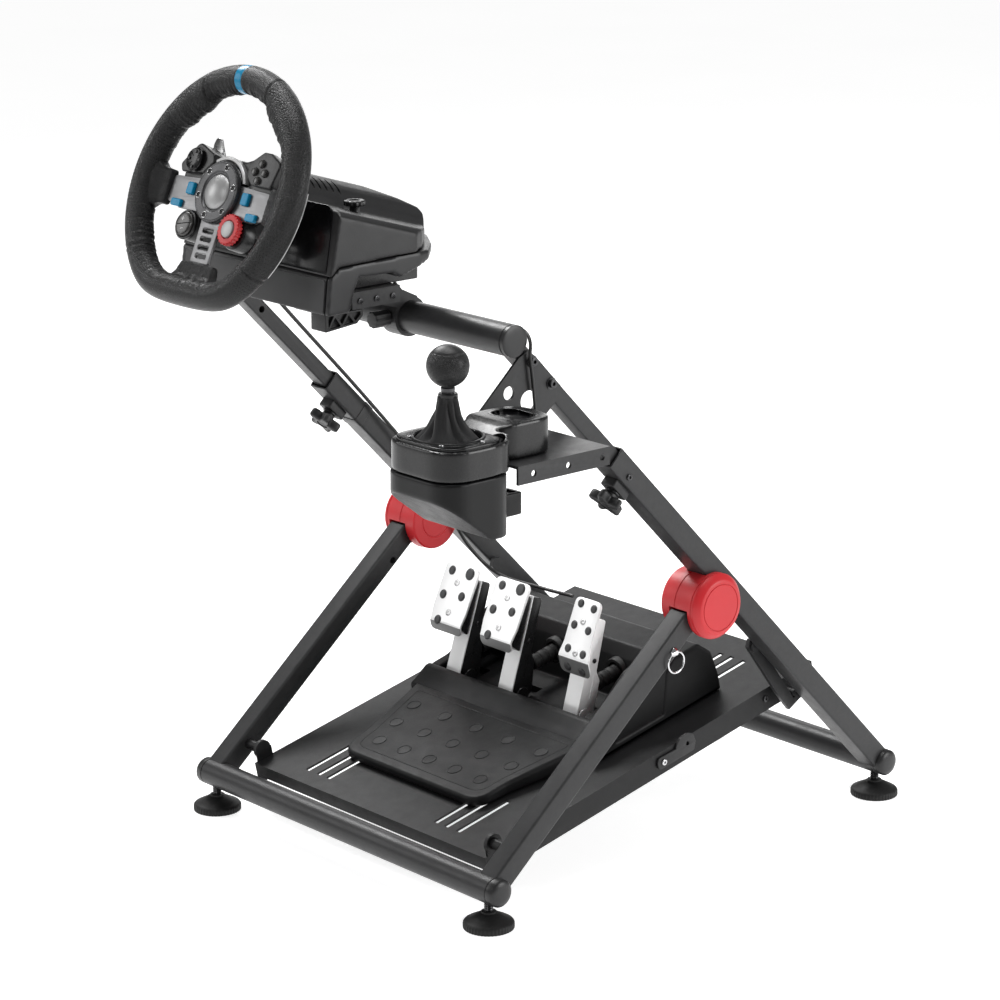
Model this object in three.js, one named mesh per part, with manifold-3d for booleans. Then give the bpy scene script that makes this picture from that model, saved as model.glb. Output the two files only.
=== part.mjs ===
// Racing wheel on a folding stand, with shifter and pedals. Millimetres, +Z up.
// The driver sits at -Y and looks along +Y, so +X is the driver's right.
// While it is built, x = 0 is the middle of the stand, y = 0 the front floor bar's axis, z = 0 the floor.
import * as THREE from 'three';
import { mergeVertices } from 'three/addons/utils/BufferGeometryUtils.js';
import Module from 'manifold-3d';

const wasm = await Module();
wasm.setup();

// ---- driving dimensions -------------------------------------------------------------------------
const GAP = 0.3;
const RAD = Math.PI / 180;
const BAR = { length: 525, radius: 15.5, height: 44, wall: 2 };
const WHEELBASE = 612;
const FOOT = { x: 239.5, radius: 28, height: 28.2 };
const LEG = { x: 239.5, side: 26, wall: 2, slope: 40.12 };
const UPRIGHT = { x: 239.5, width: 30, depth: 26, wall: 2, slope: 45.27, mouth: 630 };
const INNER = { width: 21.5, depth: 18, wall: 1.8, bottom: 505 };
const CROSSBAR = { length: 514, radius: 17, wall: 2, reach: 838.7 };
const HUB = { reach: 389.9, offset: 31.2, radius: 37.5, inner: 211, outer: 269.5, barrel: 17.7, pin: 8 };
const LOCK = { reach: 594, block: 10 };
const PLATE = { half: 202.5, length: 521.7, sheet: 2.5, front: 27.8, height: 60.4, slope: 12.5, flange: 27 };
const EAR = { along: 14, up: 12, radius: 11 };
const HANGER = { pinAlong: 470, pinUp: -13, thickness: 5, x: 218.5 };
const WHEEL = { y: -160.6, z: 782.1, tilt: 23.3, ring: 119.9, grip: 15.2, flat: 108 };
const DECK = { half: 108, front: -70, back: -6, top: 680, sheet: 3, collarX: 80, collar: 21.5 };
const HOUSING = { half: 126, front: -117, seamFront: 702.5, seamBack: 716 };
const SHELF = { inner: 250.6, outer: 364.1, front: -71, back: 53.5, top: 545.2, sheet: 3, drop: 19.2 };
const SHIFTER = { x: 313, y: -118, pivot: 554, knobZ: 646, knob: 21.5, seam: 541 };
const PEDAL = { pivotAlong: 262, pivotUp: 18, arm: 24 };

const sin = (degrees) => Math.sin(degrees * RAD);
const cos = (degrees) => Math.cos(degrees * RAD);
const AXLE = [0, WHEELBASE - CROSSBAR.reach * cos(UPRIGHT.slope), BAR.height + CROSSBAR.reach * sin(UPRIGHT.slope)];

// ---- materials ----------------------------------------------------------------------------------
const finish = (color, roughness, metalness) => new THREE.MeshStandardMaterial({ color, roughness, metalness });
const POWDER_COAT = finish(0x2a2a2b, 0.55, 0.4);
const RED_PLASTIC = finish(0xc4232f, 0.4, 0);
const BLACK_PLASTIC = finish(0x1b1b1c, 0.45, 0);
const GREY_PLASTIC = finish(0x55575a, 0.5, 0);
const LIGHT_PLASTIC = finish(0x9a9a9a, 0.45, 0);
const BLUE_PLASTIC = finish(0x1b7fb3, 0.35, 0);
const LEATHER = finish(0x1c1c1d, 0.7, 0);
const RUBBER = finish(0x151515, 0.85, 0);
const BRUSHED = finish(0x4a4b4e, 0.35, 0.9);
const STEEL = finish(0xc8c8c6, 0.25, 1);
const SOFT_CORD = finish(0x101010, 0.6, 0);

// ---- solids: a closed geometry becomes a solid that can be joined and cut -----------------------------
function solid(geometry) {
  const bare = geometry.clone();
  bare.deleteAttribute('normal');
  bare.deleteAttribute('uv');
  const merged = mergeVertices(bare, 1e-4);
  const index = merged.index.array;
  const faces = [];
  for (let i = 0; i < index.length; i += 3) {
    const [a, b, c] = [index[i], index[i + 1], index[i + 2]];
    if (a !== b && b !== c && c !== a) faces.push(a, b, c);
  }
  const vertProperties = new Float32Array(merged.attributes.position.array);
  const mesh = new wasm.Mesh({ numProp: 3, vertProperties, triVerts: new Uint32Array(faces) });
  mesh.merge();
  return new wasm.Manifold(mesh);
}

const join = (first, ...rest) => rest.reduce((sum, next) => sum.add(next), first);
const cut = (first, ...rest) => rest.reduce((left, next) => left.subtract(next), first);

function box(x0, x1, y0, y1, z0, z1) {
  const geometry = new THREE.BoxGeometry(x1 - x0, y1 - y0, z1 - z0);
  geometry.translate((x0 + x1) / 2, (y0 + y1) / 2, (z0 + z1) / 2);
  return solid(geometry);
}

function extruded(points, depth, holes = []) {
  const shape = new THREE.Shape(points.map(([u, v]) => new THREE.Vector2(u, v)));
  shape.holes = holes.map((hole) => new THREE.Path(hole.map(([u, v]) => new THREE.Vector2(u, v))));
  return new THREE.ExtrudeGeometry(shape, { depth, bevelEnabled: false, steps: 1 });
}

// A flat outline in (y, z) carried along X.
function prismX(points, x0, x1, holes = []) {
  const geometry = extruded(points, x1 - x0, holes);
  const turn = new THREE.Matrix4().makeBasis(
    new THREE.Vector3(0, 1, 0), new THREE.Vector3(0, 0, 1), new THREE.Vector3(1, 0, 0));
  geometry.applyMatrix4(turn);
  geometry.translate(x0, 0, 0);
  return solid(geometry);
}

// A flat outline in (x, y) carried along Z.
function prismZ(points, z0, z1, holes = []) {
  const geometry = extruded(points, z1 - z0, holes);
  geometry.translate(0, 0, z0);
  return solid(geometry);
}

// Round bars along each axis.
function roundX(radius, x0, x1, y, z, sides = 28) {
  const geometry = new THREE.CylinderGeometry(radius, radius, x1 - x0, sides);
  geometry.rotateZ(-90 * RAD);
  geometry.translate((x0 + x1) / 2, y, z);
  return solid(geometry);
}

function roundY(radius, y0, y1, x, z, sides = 28) {
  const geometry = new THREE.CylinderGeometry(radius, radius, y1 - y0, sides);
  geometry.translate(x, (y0 + y1) / 2, z);
  return solid(geometry);
}

function roundZ(radius, z0, z1, x, y, sides = 28) {
  const geometry = new THREE.CylinderGeometry(radius, radius, z1 - z0, sides);
  geometry.rotateX(90 * RAD);
  geometry.translate(x, y, (z0 + z1) / 2);
  return solid(geometry);
}

// A profile of (radius, height) turned about Z.
function turnedZ(profile, sides = 28) {
  const geometry = new THREE.LatheGeometry(profile.map(([r, h]) => new THREE.Vector2(r, h)), sides);
  geometry.rotateX(90 * RAD);
  const result = solid(geometry);
  return result.volume() < 0 ? solid(flipped(geometry)) : result;
}

function turnedX(profile, sides = 28) {
  const geometry = new THREE.LatheGeometry(profile.map(([r, h]) => new THREE.Vector2(r, h)), sides);
  geometry.rotateZ(-90 * RAD);
  const result = solid(geometry);
  return result.volume() < 0 ? solid(flipped(geometry)) : result;
}

function flipped(geometry) {
  const index = geometry.index.array;
  for (let i = 0; i < index.length; i += 3) {
    [index[i], index[i + 1]] = [index[i + 1], index[i]];
  }
  return geometry;
}

const moved = (body, x, y, z) => body.translate([x, y, z]);
const mirrored = (body) => body.mirror([1, 0, 0]);
const onSide = (body, side) => (side > 0 ? body : mirrored(body));

function circle(radius, u, v, sides = 24) {
  return Array.from({ length: sides }, (_, i) => {
    const angle = (i * 2 * Math.PI) / sides;
    return [u + radius * Math.cos(angle), v + radius * Math.sin(angle)];
  });
}

function roundedRectangle(halfU, halfV, corner, u = 0, v = 0, steps = 5) {
  const points = [];
  const centres = [[1, 1, 0], [-1, 1, 90], [-1, -1, 180], [1, -1, 270]];
  for (const [su, sv, start] of centres) {
    for (let i = 0; i <= steps; i += 1) {
      const angle = start + (90 * i) / steps;
      points.push([
        u + su * (halfU - corner) + corner * cos(angle),
        v + sv * (halfV - corner) + corner * sin(angle),
      ]);
    }
  }
  return points;
}

function mesh(name, body, material, group) {
  const data = body.getMesh();
  const geometry = new THREE.BufferGeometry();
  geometry.setAttribute('position', new THREE.BufferAttribute(new Float32Array(data.vertProperties), 3));
  geometry.setIndex(new THREE.BufferAttribute(new Uint32Array(data.triVerts), 1));
  const plain = mergeVertices(geometry, 1e-3);
  plain.computeVertexNormals();
  const result = new THREE.Mesh(plain, material);
  result.name = name;
  group.add(result);
}

// ---- frames: each group has its own axes -------------------------------------------------------------
const rig = new THREE.Group();

function frameAt(y, z, degrees) {
  const group = new THREE.Group();
  group.position.set(0, y, z);
  group.rotation.x = degrees * RAD;
  rig.add(group);
  return group;
}

// Along an upright: +Y runs up the tube from the rear floor bar, +Z out of its lower, driver-side face.
const uprightFrame = frameAt(WHEELBASE, BAR.height, 180 - UPRIGHT.slope);
// Along a leg: +Y runs up the leg from the front floor bar, +Z out of its upper face.
const legFrame = frameAt(0, BAR.height, LEG.slope);
// On the pedal plate: +Y runs from its front edge to the back, +Z out of its top face.
const plateFrame = frameAt(PLATE.front, PLATE.height, PLATE.slope);
// On the steering wheel: +Y is up in the wheel's plane, +Z points at the driver.
const wheelFrame = frameAt(WHEEL.y, WHEEL.z, 90 - WHEEL.tilt);

// ---- floor bars and feet ------------------------------------------------------------------------------
function hollowBar(length, radius, wall, dome) {
  const end = length / 2;
  const inside = radius - wall;
  const half = [[1.5, end], [radius * 0.55, end], [radius * 0.85, end - dome * 0.35], [radius, end - dome]];
  const outer = [...half, ...half.slice().reverse().map(([r, h]) => [r, -h])];
  const bore = [[1.5, 3 - end], [inside, 3 + dome - end], [inside, end - 3 - dome], [1.5, end - 3]];
  return turnedX([...outer, ...bore, half[0]], 22);
}

function floorBar(name, y) {
  mesh(name, moved(hollowBar(BAR.length, BAR.radius, BAR.wall, 7), 0, y, BAR.height), POWDER_COAT, rig);
}

function foot(name, x, y) {
  const r = FOOT.radius;
  const profile = [[0, 0], [r - 2, 0], [r, 1.5], [r, 7.5], [r - 2, 9], [13, 16], [8, 19], [5, 19.5],
    [5, FOOT.height], [0, FOOT.height]];
  mesh(name, moved(turnedZ(profile, 24), x, y, 0), RUBBER, rig);
}

// ---- pivot hubs, legs and uprights -------------------------------------------------------------------
function sector(y, z, radius, from, to) {
  const points = [[y, z]];
  for (let i = 0; i <= 12; i += 1) {
    const angle = from + ((to - from) * i) / 12;
    points.push([y + radius * cos(angle), z + radius * sin(angle)]);
  }
  return points;
}

// The casing is a spool: two discs joined round the back, open where the leg swings.
function hub(name, side) {
  const { reach, offset, radius, inner, outer } = HUB;
  const profile = [[0, inner], [radius - 2, inner], [radius, inner + 2], [radius, outer - 8],
    [radius - 2.5, outer - 3.5], [radius - 7, outer], [0, outer]];
  const left = LEG.x - LEG.side / 2 - 1.3;
  const right = LEG.x + LEG.side / 2 + 1.3;
  const blank = moved(turnedX(profile, 32), 0, reach, offset);
  const swing = prismX(sector(reach, offset, 60, 46, 192), left, right);
  const bore = roundX(HUB.barrel + 0.6, left, right, reach, offset, 32);
  const tube = box(UPRIGHT.x - UPRIGHT.width / 2 - GAP, UPRIGHT.x + UPRIGHT.width / 2 + GAP,
    reach - 70, reach + 70, -UPRIGHT.depth / 2 - GAP, UPRIGHT.depth / 2 + GAP);
  const pin = roundX(HUB.pin, inner + 4, outer - 8, reach, offset, 20);
  mesh(name, onSide(join(cut(blank, swing, bore, tube), pin), side), RED_PLASTIC, uprightFrame);
}

const HUB_FROM_FRONT = [
  WHEELBASE - HUB.reach * cos(UPRIGHT.slope) - HUB.offset * sin(UPRIGHT.slope),
  HUB.reach * sin(UPRIGHT.slope) - HUB.offset * cos(UPRIGHT.slope),
];
const LEG_REACH = HUB_FROM_FRONT[0] * cos(LEG.slope) + HUB_FROM_FRONT[1] * sin(LEG.slope);
const LEG_OFFSET = HUB_FROM_FRONT[1] * cos(LEG.slope) - HUB_FROM_FRONT[0] * sin(LEG.slope);
const PIN_HOLE = { along: 335.6, up: -6, radius: 4.4 };

function leg(name, side) {
  const [x0, x1] = [LEG.x - LEG.side / 2, LEG.x + LEG.side / 2];
  const half = LEG.side / 2;
  const top = LEG_REACH - 29.6;
  const tube = box(x0, x1, 8, top, -half, half);
  const tongue = box(x0, x1, top - 1, LEG_REACH, -half, LEG_OFFSET + 11);
  const barrel = roundX(HUB.barrel, x0, x1, LEG_REACH, LEG_OFFSET, 32);
  const hollow = box(x0 + LEG.wall, x1 - LEG.wall, 5, top - 4, LEG.wall - half, half - LEG.wall);
  const bar = roundX(BAR.radius + GAP, x0 - 1, x1 + 1, 0, 0, 28);
  const eye = roundX(HUB.pin + 0.4, x0 - 1, x1 + 1, LEG_REACH, LEG_OFFSET, 20);
  const pinHole = roundX(PIN_HOLE.radius, x0 - 1, x1 + 1, PIN_HOLE.along, PIN_HOLE.up, 16);
  const body = cut(join(tube, tongue, barrel), hollow, bar, eye, pinHole);
  mesh(name, onSide(body, side), POWDER_COAT, legFrame);
}

function lockingPin() {
  const outer = LEG.x + LEG.side / 2;
  const { along, up, radius } = PIN_HOLE;
  const shank = roundX(radius - 0.4, outer - 32, outer + 2, along, up, 16);
  const head = roundX(6.5, outer + GAP, outer + 5, along, up, 16);
  const ring = new THREE.TorusGeometry(12, 1.3, 6, 18);
  ring.rotateY(90 * RAD);
  ring.translate(outer + 3.5, along - 11 * sin(LEG.slope), up - 11 * cos(LEG.slope));
  mesh('locking_pin', join(shank, head, solid(ring)), STEEL, legFrame);
}

function outerUpright(name, side) {
  const [w, d] = [UPRIGHT.width / 2, UPRIGHT.depth / 2];
  const x = UPRIGHT.x;
  const tube = box(x - w, x + w, 8, UPRIGHT.mouth, -d, d);
  const block = box(x - 10, x + 10, LOCK.reach - 14, LOCK.reach + 14, d - 1, d + LOCK.block);
  const band = box(x - w - 0.9, x + w + 0.9, 556, 569, -d - 0.9, d + 0.9);
  const bore = box(x - w + UPRIGHT.wall, x + w - UPRIGHT.wall, 0, 566, UPRIGHT.wall - d, d - UPRIGHT.wall);
  const sleeve = box(x - INNER.width / 2 - GAP, x + INNER.width / 2 + GAP, 560, UPRIGHT.mouth + 5,
    -INNER.depth / 2 - GAP, INNER.depth / 2 + GAP);
  const stud = roundZ(4.4, 0, d + LOCK.block + 5, x, LOCK.reach, 16);
  const bar = roundX(BAR.radius + GAP, x - w - 5, x + w + 5, 0, 0, 28);
  const whole = side < 0 ? join(tube, block, band) : join(tube, block);
  mesh(name, onSide(cut(whole, bore, sleeve, stud, bar), side), POWDER_COAT, uprightFrame);
}

function lockKnob(name, side) {
  const x = UPRIGHT.x;
  const face = UPRIGHT.depth / 2 + LOCK.block;
  const stud = roundZ(4, INNER.depth / 2 + 0.6, face + 10, x, LOCK.reach, 16);
  const washer = roundZ(9, face + GAP, face + 2, x, LOCK.reach, 20);
  const neck = roundZ(7, face + 1, face + 8, x, LOCK.reach, 20);
  const lobes = Array.from({ length: 40 }, (_, i) => {
    const radius = 14 + 4.5 * cos(9 * i * 5);
    return [x + radius * cos(9 * i), LOCK.reach + radius * sin(9 * i)];
  });
  const star = prismZ(lobes, face + 7, face + 18);
  mesh(name, onSide(join(stud, washer, neck, star), side), BLACK_PLASTIC, uprightFrame);
}

function innerUpright(name, side) {
  const [w, d] = [INNER.width / 2, INNER.depth / 2];
  const x = UPRIGHT.x;
  const t = INNER.wall;
  const tube = box(x - w, x + w, INNER.bottom, CROSSBAR.reach, -d, d);
  const hollow = box(x - w + t, x + w - t, INNER.bottom - 5, CROSSBAR.reach + 5, t - d, d - t);
  const bar = roundX(CROSSBAR.radius + GAP, x - w - 5, x + w + 5, CROSSBAR.reach, 0, 28);
  const hole = roundX(4, x - w - 1, x - w + 3, 768, 0, 16);
  const body = side < 0 ? cut(tube, hollow, bar, hole) : cut(tube, hollow, bar);
  mesh(name, onSide(body, side), POWDER_COAT, uprightFrame);
}

function crossbar() {
  const body = hollowBar(CROSSBAR.length, CROSSBAR.radius, CROSSBAR.wall, 1.2);
  mesh('crossbar', moved(body, ...AXLE), POWDER_COAT, rig);
}

// ---- shifter bracket: gusset, shelf and flange of one sheet ---------------------------------------------
function shifterBracket() {
  const { inner, outer, front, back, top, sheet, drop } = SHELF;
  const outline = [[-57, top - sheet], [back, top - sheet], [63, 552], [80, 566], [88, 583], [52, 620], [42, 627],
    [29.6, 620.8]];
  const gusset = prismX(outline, inner, inner + sheet, [circle(7.3, 15.9, 586.2), circle(11, 43, 574)]);
  const shelf = box(inner, outer, front, back, top - sheet, top);
  const flange = box(outer - sheet, outer, front, back, top - drop, top);
  const holes = [-50, -3, 43].map((y) => roundX(3.5, outer - 10, outer + 5, y, top - 10, 12));
  mesh('shifter_bracket', cut(join(gusset, shelf, flange), ...holes), POWDER_COAT, rig);
}

// ---- wheel deck on the crossbar -----------------------------------------------------------------------
function wheelDeck() {
  const [, y, z] = AXLE;
  const { half, front, back, top, sheet, collarX } = DECK;
  const plate = box(-half, half, front, back, top - sheet, top);
  const flange = box(half - sheet, half, front, back, top - 18, top);
  const arm = [[front + 8, top - 1], [back - 2, top - 1], [y + 9, z + 21], [y + 19, z], [y, z - 19], [y - 14, z + 11],
    [y - 62, z + 24]];
  const collar = join(roundX(DECK.collar, collarX - 12, collarX + 12, y, z, 32), prismX(arm, collarX - 12, collarX + 12));
  const bore = roundX(CROSSBAR.radius + GAP, -half, half, y, z, 32);
  const stud = roundY(3.9, y - 40, y, collarX, z, 16);
  const body = join(plate, flange, mirrored(flange), collar, mirrored(collar));
  mesh('wheel_deck', cut(body, bore, stud), POWDER_COAT, rig);
}

function deckKnob() {
  const [, y, z] = AXLE;
  const tip = y - CROSSBAR.radius - 0.4;
  const stud = roundY(3.5, tip - 12, tip, DECK.collarX, z, 16);
  const grip = roundY(9, tip - 26, tip - 5, DECK.collarX, z, 12);
  mesh('deck_knob', join(stud, grip), BLACK_PLASTIC, rig);
}

// ---- wheel base -----------------------------------------------------------------------------------------
const rearOutline = (grow) => [
  [-HOUSING.half, -130], [HOUSING.half, -130], [HOUSING.half, 2 + grow], [117 + grow, 17 + grow],
  [87 + grow, 46 + grow], [54, 73 + grow], [0, 86 + grow], [-54, 73 + grow], [-87 - grow, 46 + grow],
  [-117 - grow, 17 + grow], [-HOUSING.half, 2 + grow],
];

function baseLower() {
  const side = [[-117, 664.3], [-88, 664.3], [-82, 684], [-75, 699], [-30, 698.5], [-20, 692], [22, 705], [102, 705],
    [102, 716], [10, 716], [-100, 712.5], [-113, 702.5]];
  const shell = prismX(side, -HOUSING.half, HOUSING.half).intersect(prismZ(rearOutline(5), 650, 730));
  const pad = box(-96, 96, -80, 30, DECK.top + GAP, 706);
  const tray = box(-98, 98, -98, 30, 700, 730);
  const cableBay = box(-70, 70, 12, 50, 670, 690);
  mesh('base_lower_housing', cut(join(shell, pad), tray, cableBay), GREY_PLASTIC, rig);
}

// The top falls to the back at a constant slope and carries a raised spine.
function crowned(inset) {
  const w = HOUSING.half - inset;
  const section = [[-w, -110], [w, -110], [w, -6], [w - 7, -inset], [62 - inset, 7 - inset], [50 - inset, 24 - inset],
    [30 - inset, 33 - inset], [inset - 30, 33 - inset], [inset - 50, 24 - inset], [inset - 62, 7 - inset],
    [7 - w, -inset], [-w, -6]];
  const geometry = extruded(section.map(([x, h]) => [h, x]), 260);
  const turn = new THREE.Matrix4().makeBasis(
    new THREE.Vector3(0, 0, 1), new THREE.Vector3(1, 0, 0), new THREE.Vector3(0, 1, 0));
  geometry.applyMatrix4(turn);
  geometry.translate(0, -130, 770);
  const slope = new THREE.Matrix4().set(1, 0, 0, 0, 0, 1, 0, 0, 0, -0.295, 1, -0.295 * 94, 0, 0, 0, 1);
  geometry.applyMatrix4(slope);
  return solid(geometry);
}

function baseUpper() {
  const side = [[-112.7, 702.9], [-100, 712.9], [10, 716.4], [96, 716.4], [97, 720], [80, 730], [69, 745], [48, 756],
    [15, 770], [-13, 782], [-57, 795], [-80, 797], [-91, 792], [-97, 776]];
  const inside = [[-107, 700], [-96, 705], [92, 710], [90, 716], [75, 724], [63, 740], [43, 750], [12, 763],
    [-14, 776], [-57, 789],
    [-79, 791], [-86, 788], [-91, 774]];
  const shell = prismX(side, -HOUSING.half, HOUSING.half).intersect(prismZ(rearOutline(0), 650, 830))
    .intersect(crowned(0));
  const hollow = prismX(inside, 4 - HOUSING.half, HOUSING.half - 4).intersect(prismZ(rearOutline(-5), 650, 830))
    .intersect(crowned(4));
  const recess = roundZ(15, 757.5, 800, 80, -43, 24);
  const floor = roundZ(17, 750, 757, 80, -43, 24);
  const knobWell = (body) => join(body, floor.intersect(crowned(0)));
  const shaft = new THREE.CylinderGeometry(12.6, 12.6, 120, 28);
  shaft.rotateX(90 * RAD);
  shaft.translate(0, 0, -80);
  shaft.rotateX((90 - WHEEL.tilt) * RAD);
  shaft.translate(0, WHEEL.y, WHEEL.z);
  let body = cut(shell, hollow, solid(shaft));
  body = knobWell(body);
  body = join(body, mirrored(floor).intersect(crowned(0)));
  mesh('base_upper_housing', cut(body, recess, mirrored(recess)), BLACK_PLASTIC, rig);
}

function baseClamp(name, side) {
  const arm = box(84, 108, -106, -92, 643, 663.7);
  const pad = [[-106, 643], [-64, 647], [-56, 654], [-56, 661.5], [-106, 661.5]];
  mesh(name, onSide(join(arm, prismX(pad, 84, 108)), side), BLACK_PLASTIC, rig);
}

function baseKnob(name, side) {
  const grip = roundZ(11.5, 759.5, 770, 80, -43, 24);
  const stem = roundZ(4, 757.8, 760, 80, -43, 16);
  mesh(name, onSide(join(grip, stem), side), BLACK_PLASTIC, rig);
}

// ---- steering wheel: all heights are along the steering axis ---------------------------------------------
function steeringShaft() {
  const profile = [[0, -122], [12, -122], [12, -109], [38, -109], [38, -99], [12, -99], [12, -50], [27, -48],
    [27, -28], [19, -28], [19, -9.4], [0, -9.4]];
  mesh('steering_shaft', turnedZ(profile, 26), BRUSHED, wheelFrame);
}

// The ring is a torus drawn in at the bottom, with a thumb swell inside each upper quarter.
function rim() {
  const geometry = new THREE.TorusGeometry(WHEEL.ring, WHEEL.grip, 14, 52);
  const place = geometry.attributes.position;
  for (let i = 0; i < place.count; i += 1) {
    const [x, y] = [place.getX(i), place.getY(i)];
    const radius = Math.hypot(x, y);
    const drop = -y / radius;
    const path = drop > 0.5 ? Math.min(WHEEL.ring, WHEEL.flat / drop) : WHEEL.ring;
    const angle = Math.atan2(y, Math.abs(x)) / RAD;
    const swell = Math.abs(angle - 49) < 20 ? Math.max(0, cos((angle - 49) * 4.5)) : 0;
    const thumb = radius < WHEEL.ring ? 1 + 0.45 * swell : 1;
    const scale = ((radius - WHEEL.ring) * thumb + path) / radius;
    place.setXY(i, x * scale, y * scale);
  }
  const stub = box(83, 114, -24, 15, -12, 5);
  const foot = prismZ([[-25, -76], [25, -76], [34, -104], [-34, -104]], -12, 4);
  mesh('wheel_rim', join(solid(geometry), stub, mirrored(stub), foot), LEATHER, wheelFrame);
}

const PLATE_TOP = -5;
const PLATE_BACK = -9;
const ACCENTS = [
  { name: 'accent_button_upper_left', x: -46, y: -1.5, w: 5.5, h: 6.5 },
  { name: 'accent_button_upper_right', x: 46, y: -1.5, w: 5.5, h: 6.5 },
  { name: 'accent_button_lower_left', x: -63, y: -19, w: 8, h: 4 },
  { name: 'accent_button_lower_right', x: 63, y: -19, w: 8, h: 4 },
];

function spokePlate() {
  const arm = [[20, 12], [82.5, 9], [82.5, -20], [60, -24], [24, -24]];
  const left = arm.map(([x, y]) => [-x, y]);
  const bottom = [[-16, -20], [16, -20], [15, -75.5], [-15, -75.5]];
  const slots = [-41, -50, -59, -68].map((y) => box(-9, 9, y - 2.6, y + 2.6, -12, 0));
  const pockets = ACCENTS.map((b) => box(b.x - b.w - 0.5, b.x + b.w + 0.5, b.y - b.h - 0.5, b.y + b.h + 0.5, -7.6, 0));
  const body = join(prismZ(arm, PLATE_BACK, PLATE_TOP), prismZ(left, PLATE_BACK, PLATE_TOP),
    prismZ(bottom, PLATE_BACK, PLATE_TOP), roundZ(34, PLATE_BACK, PLATE_TOP, 0, 0, 36));
  mesh('spoke_plate', cut(body, ...slots, ...pockets), BRUSHED, wheelFrame);
}

const PAD = { x: -49, y: 28.3 };
const FACE_CENTRE = { x: 57.7, y: 28.3 };
const FACE = [['top', 0, 9], ['right', 8, 0], ['bottom', 0, -9], ['left', -8, 0]];

function controlHousing() {
  const back = [[-74, 22], [-52, 48], [-22, 38], [22, 38], [50, 49], [66, 50], [86, 41], [80, 14], [80, -14],
    [56, -20], [20, -40], [-20, -40], [-56, -20], [-74, -14]];
  const leftPod = [[-74, 22], [-52, 48], [-24, 38], [-20, 30], [-33, 16], [-69, 13.5]];
  const rightPod = [[36, 36], [55, 50], [66, 50], [86, 41], [80, 14], [48, 13.5], [38, 22]];
  const rear = prismZ(back, -24, PLATE_BACK - GAP);
  const lobes = [-38.5, 38.5].map((x) => roundZ(17.2, -24, -7.4, x, -37.5, 28));
  const pods = [prismZ(leftPod, -12, -2), prismZ(rightPod, -12, -2)];
  const holes = FACE.map(([, x, y]) => roundZ(4.4, -6.5, 0, FACE_CENTRE.x + x, FACE_CENTRE.y + y, 16));
  const centre = roundZ(19.5, -30, 0, 0, 0, 36);
  const bottomGap = box(-16.5, 16.5, -80, -39.5, -9.4, 0);
  const body = join(rear, ...lobes, ...pods);
  mesh('control_housing', cut(body, ...holes, centre, bottomGap, spokeClearance()), BLACK_PLASTIC, wheelFrame);
}

// Room for the spoke plate's arms and disc between the pods and lobes.
function spokeClearance() {
  const arm = [[0, 12.5], [83, 9.4], [84, -20.3], [60.2, -24.4], [0, -24.4]];
  const left = arm.map(([x, y]) => [-x, y]);
  const disc = roundZ(34.4, PLATE_BACK - GAP, 5, 0, 0, 36);
  return join(prismZ(arm, PLATE_BACK - GAP, 5), prismZ(left, PLATE_BACK - GAP, 5), disc);
}

function hubRing() {
  const profile = [[20.5, PLATE_TOP + GAP], [33.5, PLATE_TOP + GAP], [33.5, -1], [32, 0.5], [23, 1], [21, -0.5],
    [18, 2.5], [13, 4.6], [6, 5.8], [0, 6], [0, 3], [18, -1.5], [20.5, -2.5], [20.5, PLATE_TOP + GAP]];
  const tidy = profile.slice(0, -1).map(([r, h]) => [r, h]);
  mesh('hub_ring', turnedZ([[0, PLATE_TOP + GAP], ...tidy.slice(0, 10)], 28), GREY_PLASTIC, wheelFrame);
}

function wheelControls() {
  const pad = [[0, -1.4], [11.5, -0.6], [12.3, 0.5], [12, 2.4], [9, 3.2], [0, 3.4]];
  mesh('direction_pad', moved(turnedZ(pad, 24), PAD.x, PAD.y, 0), BLACK_PLASTIC, wheelFrame);
  for (const [place, x, y] of FACE) {
    const cap = roundZ(3.9, -4.4, 1.2, FACE_CENTRE.x + x, FACE_CENTRE.y + y, 16);
    mesh(`face_button_${place}`, cap, LIGHT_PLASTIC, wheelFrame);
  }
  for (const b of ACCENTS) {
    const cap = box(b.x - b.w, b.x + b.w, b.y - b.h, b.y + b.h, -6.1, -1.2);
    mesh(b.name, cap, BLUE_PLASTIC, wheelFrame);
  }
  const rocker = [[0, -5.2], [11, -5.4], [13.4, -4.2], [13.2, -1.6], [11, -0.4], [0, 0]];
  mesh('plus_minus_rocker', moved(turnedZ(rocker, 24), -38.5, -39.5, 0), BLACK_PLASTIC, wheelFrame);
  const teeth = Array.from({ length: 48 }, (_, i) => {
    const radius = 15.9 + 0.8 * cos(7.5 * i * 12);
    return [38.5 + radius * cos(7.5 * i), -35.6 + radius * sin(7.5 * i)];
  });
  const [top, stem] = [roundZ(8.5, 1, 3.4, 38.5, -35.6, 24), roundZ(7, -7, -4, 38.5, -35.6, 16)];
  const dial = join(prismZ(teeth, -4.7, 1.6), top, stem);
  mesh('selector_dial', dial, RED_PLASTIC, wheelFrame);
}

function paddle(name, side) {
  const outline = [[29.5, 6], [29.5, 30], [46, 52], [56, 60], [64, 59], [67, 50], [60, 22], [50, 4]];
  const hinge = roundY(3.4, 8, 28, 31, -27.7, 16);
  mesh(name, onSide(join(prismZ(outline, -31, -28), hinge), side), LIGHT_PLASTIC, wheelFrame);
}

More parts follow.
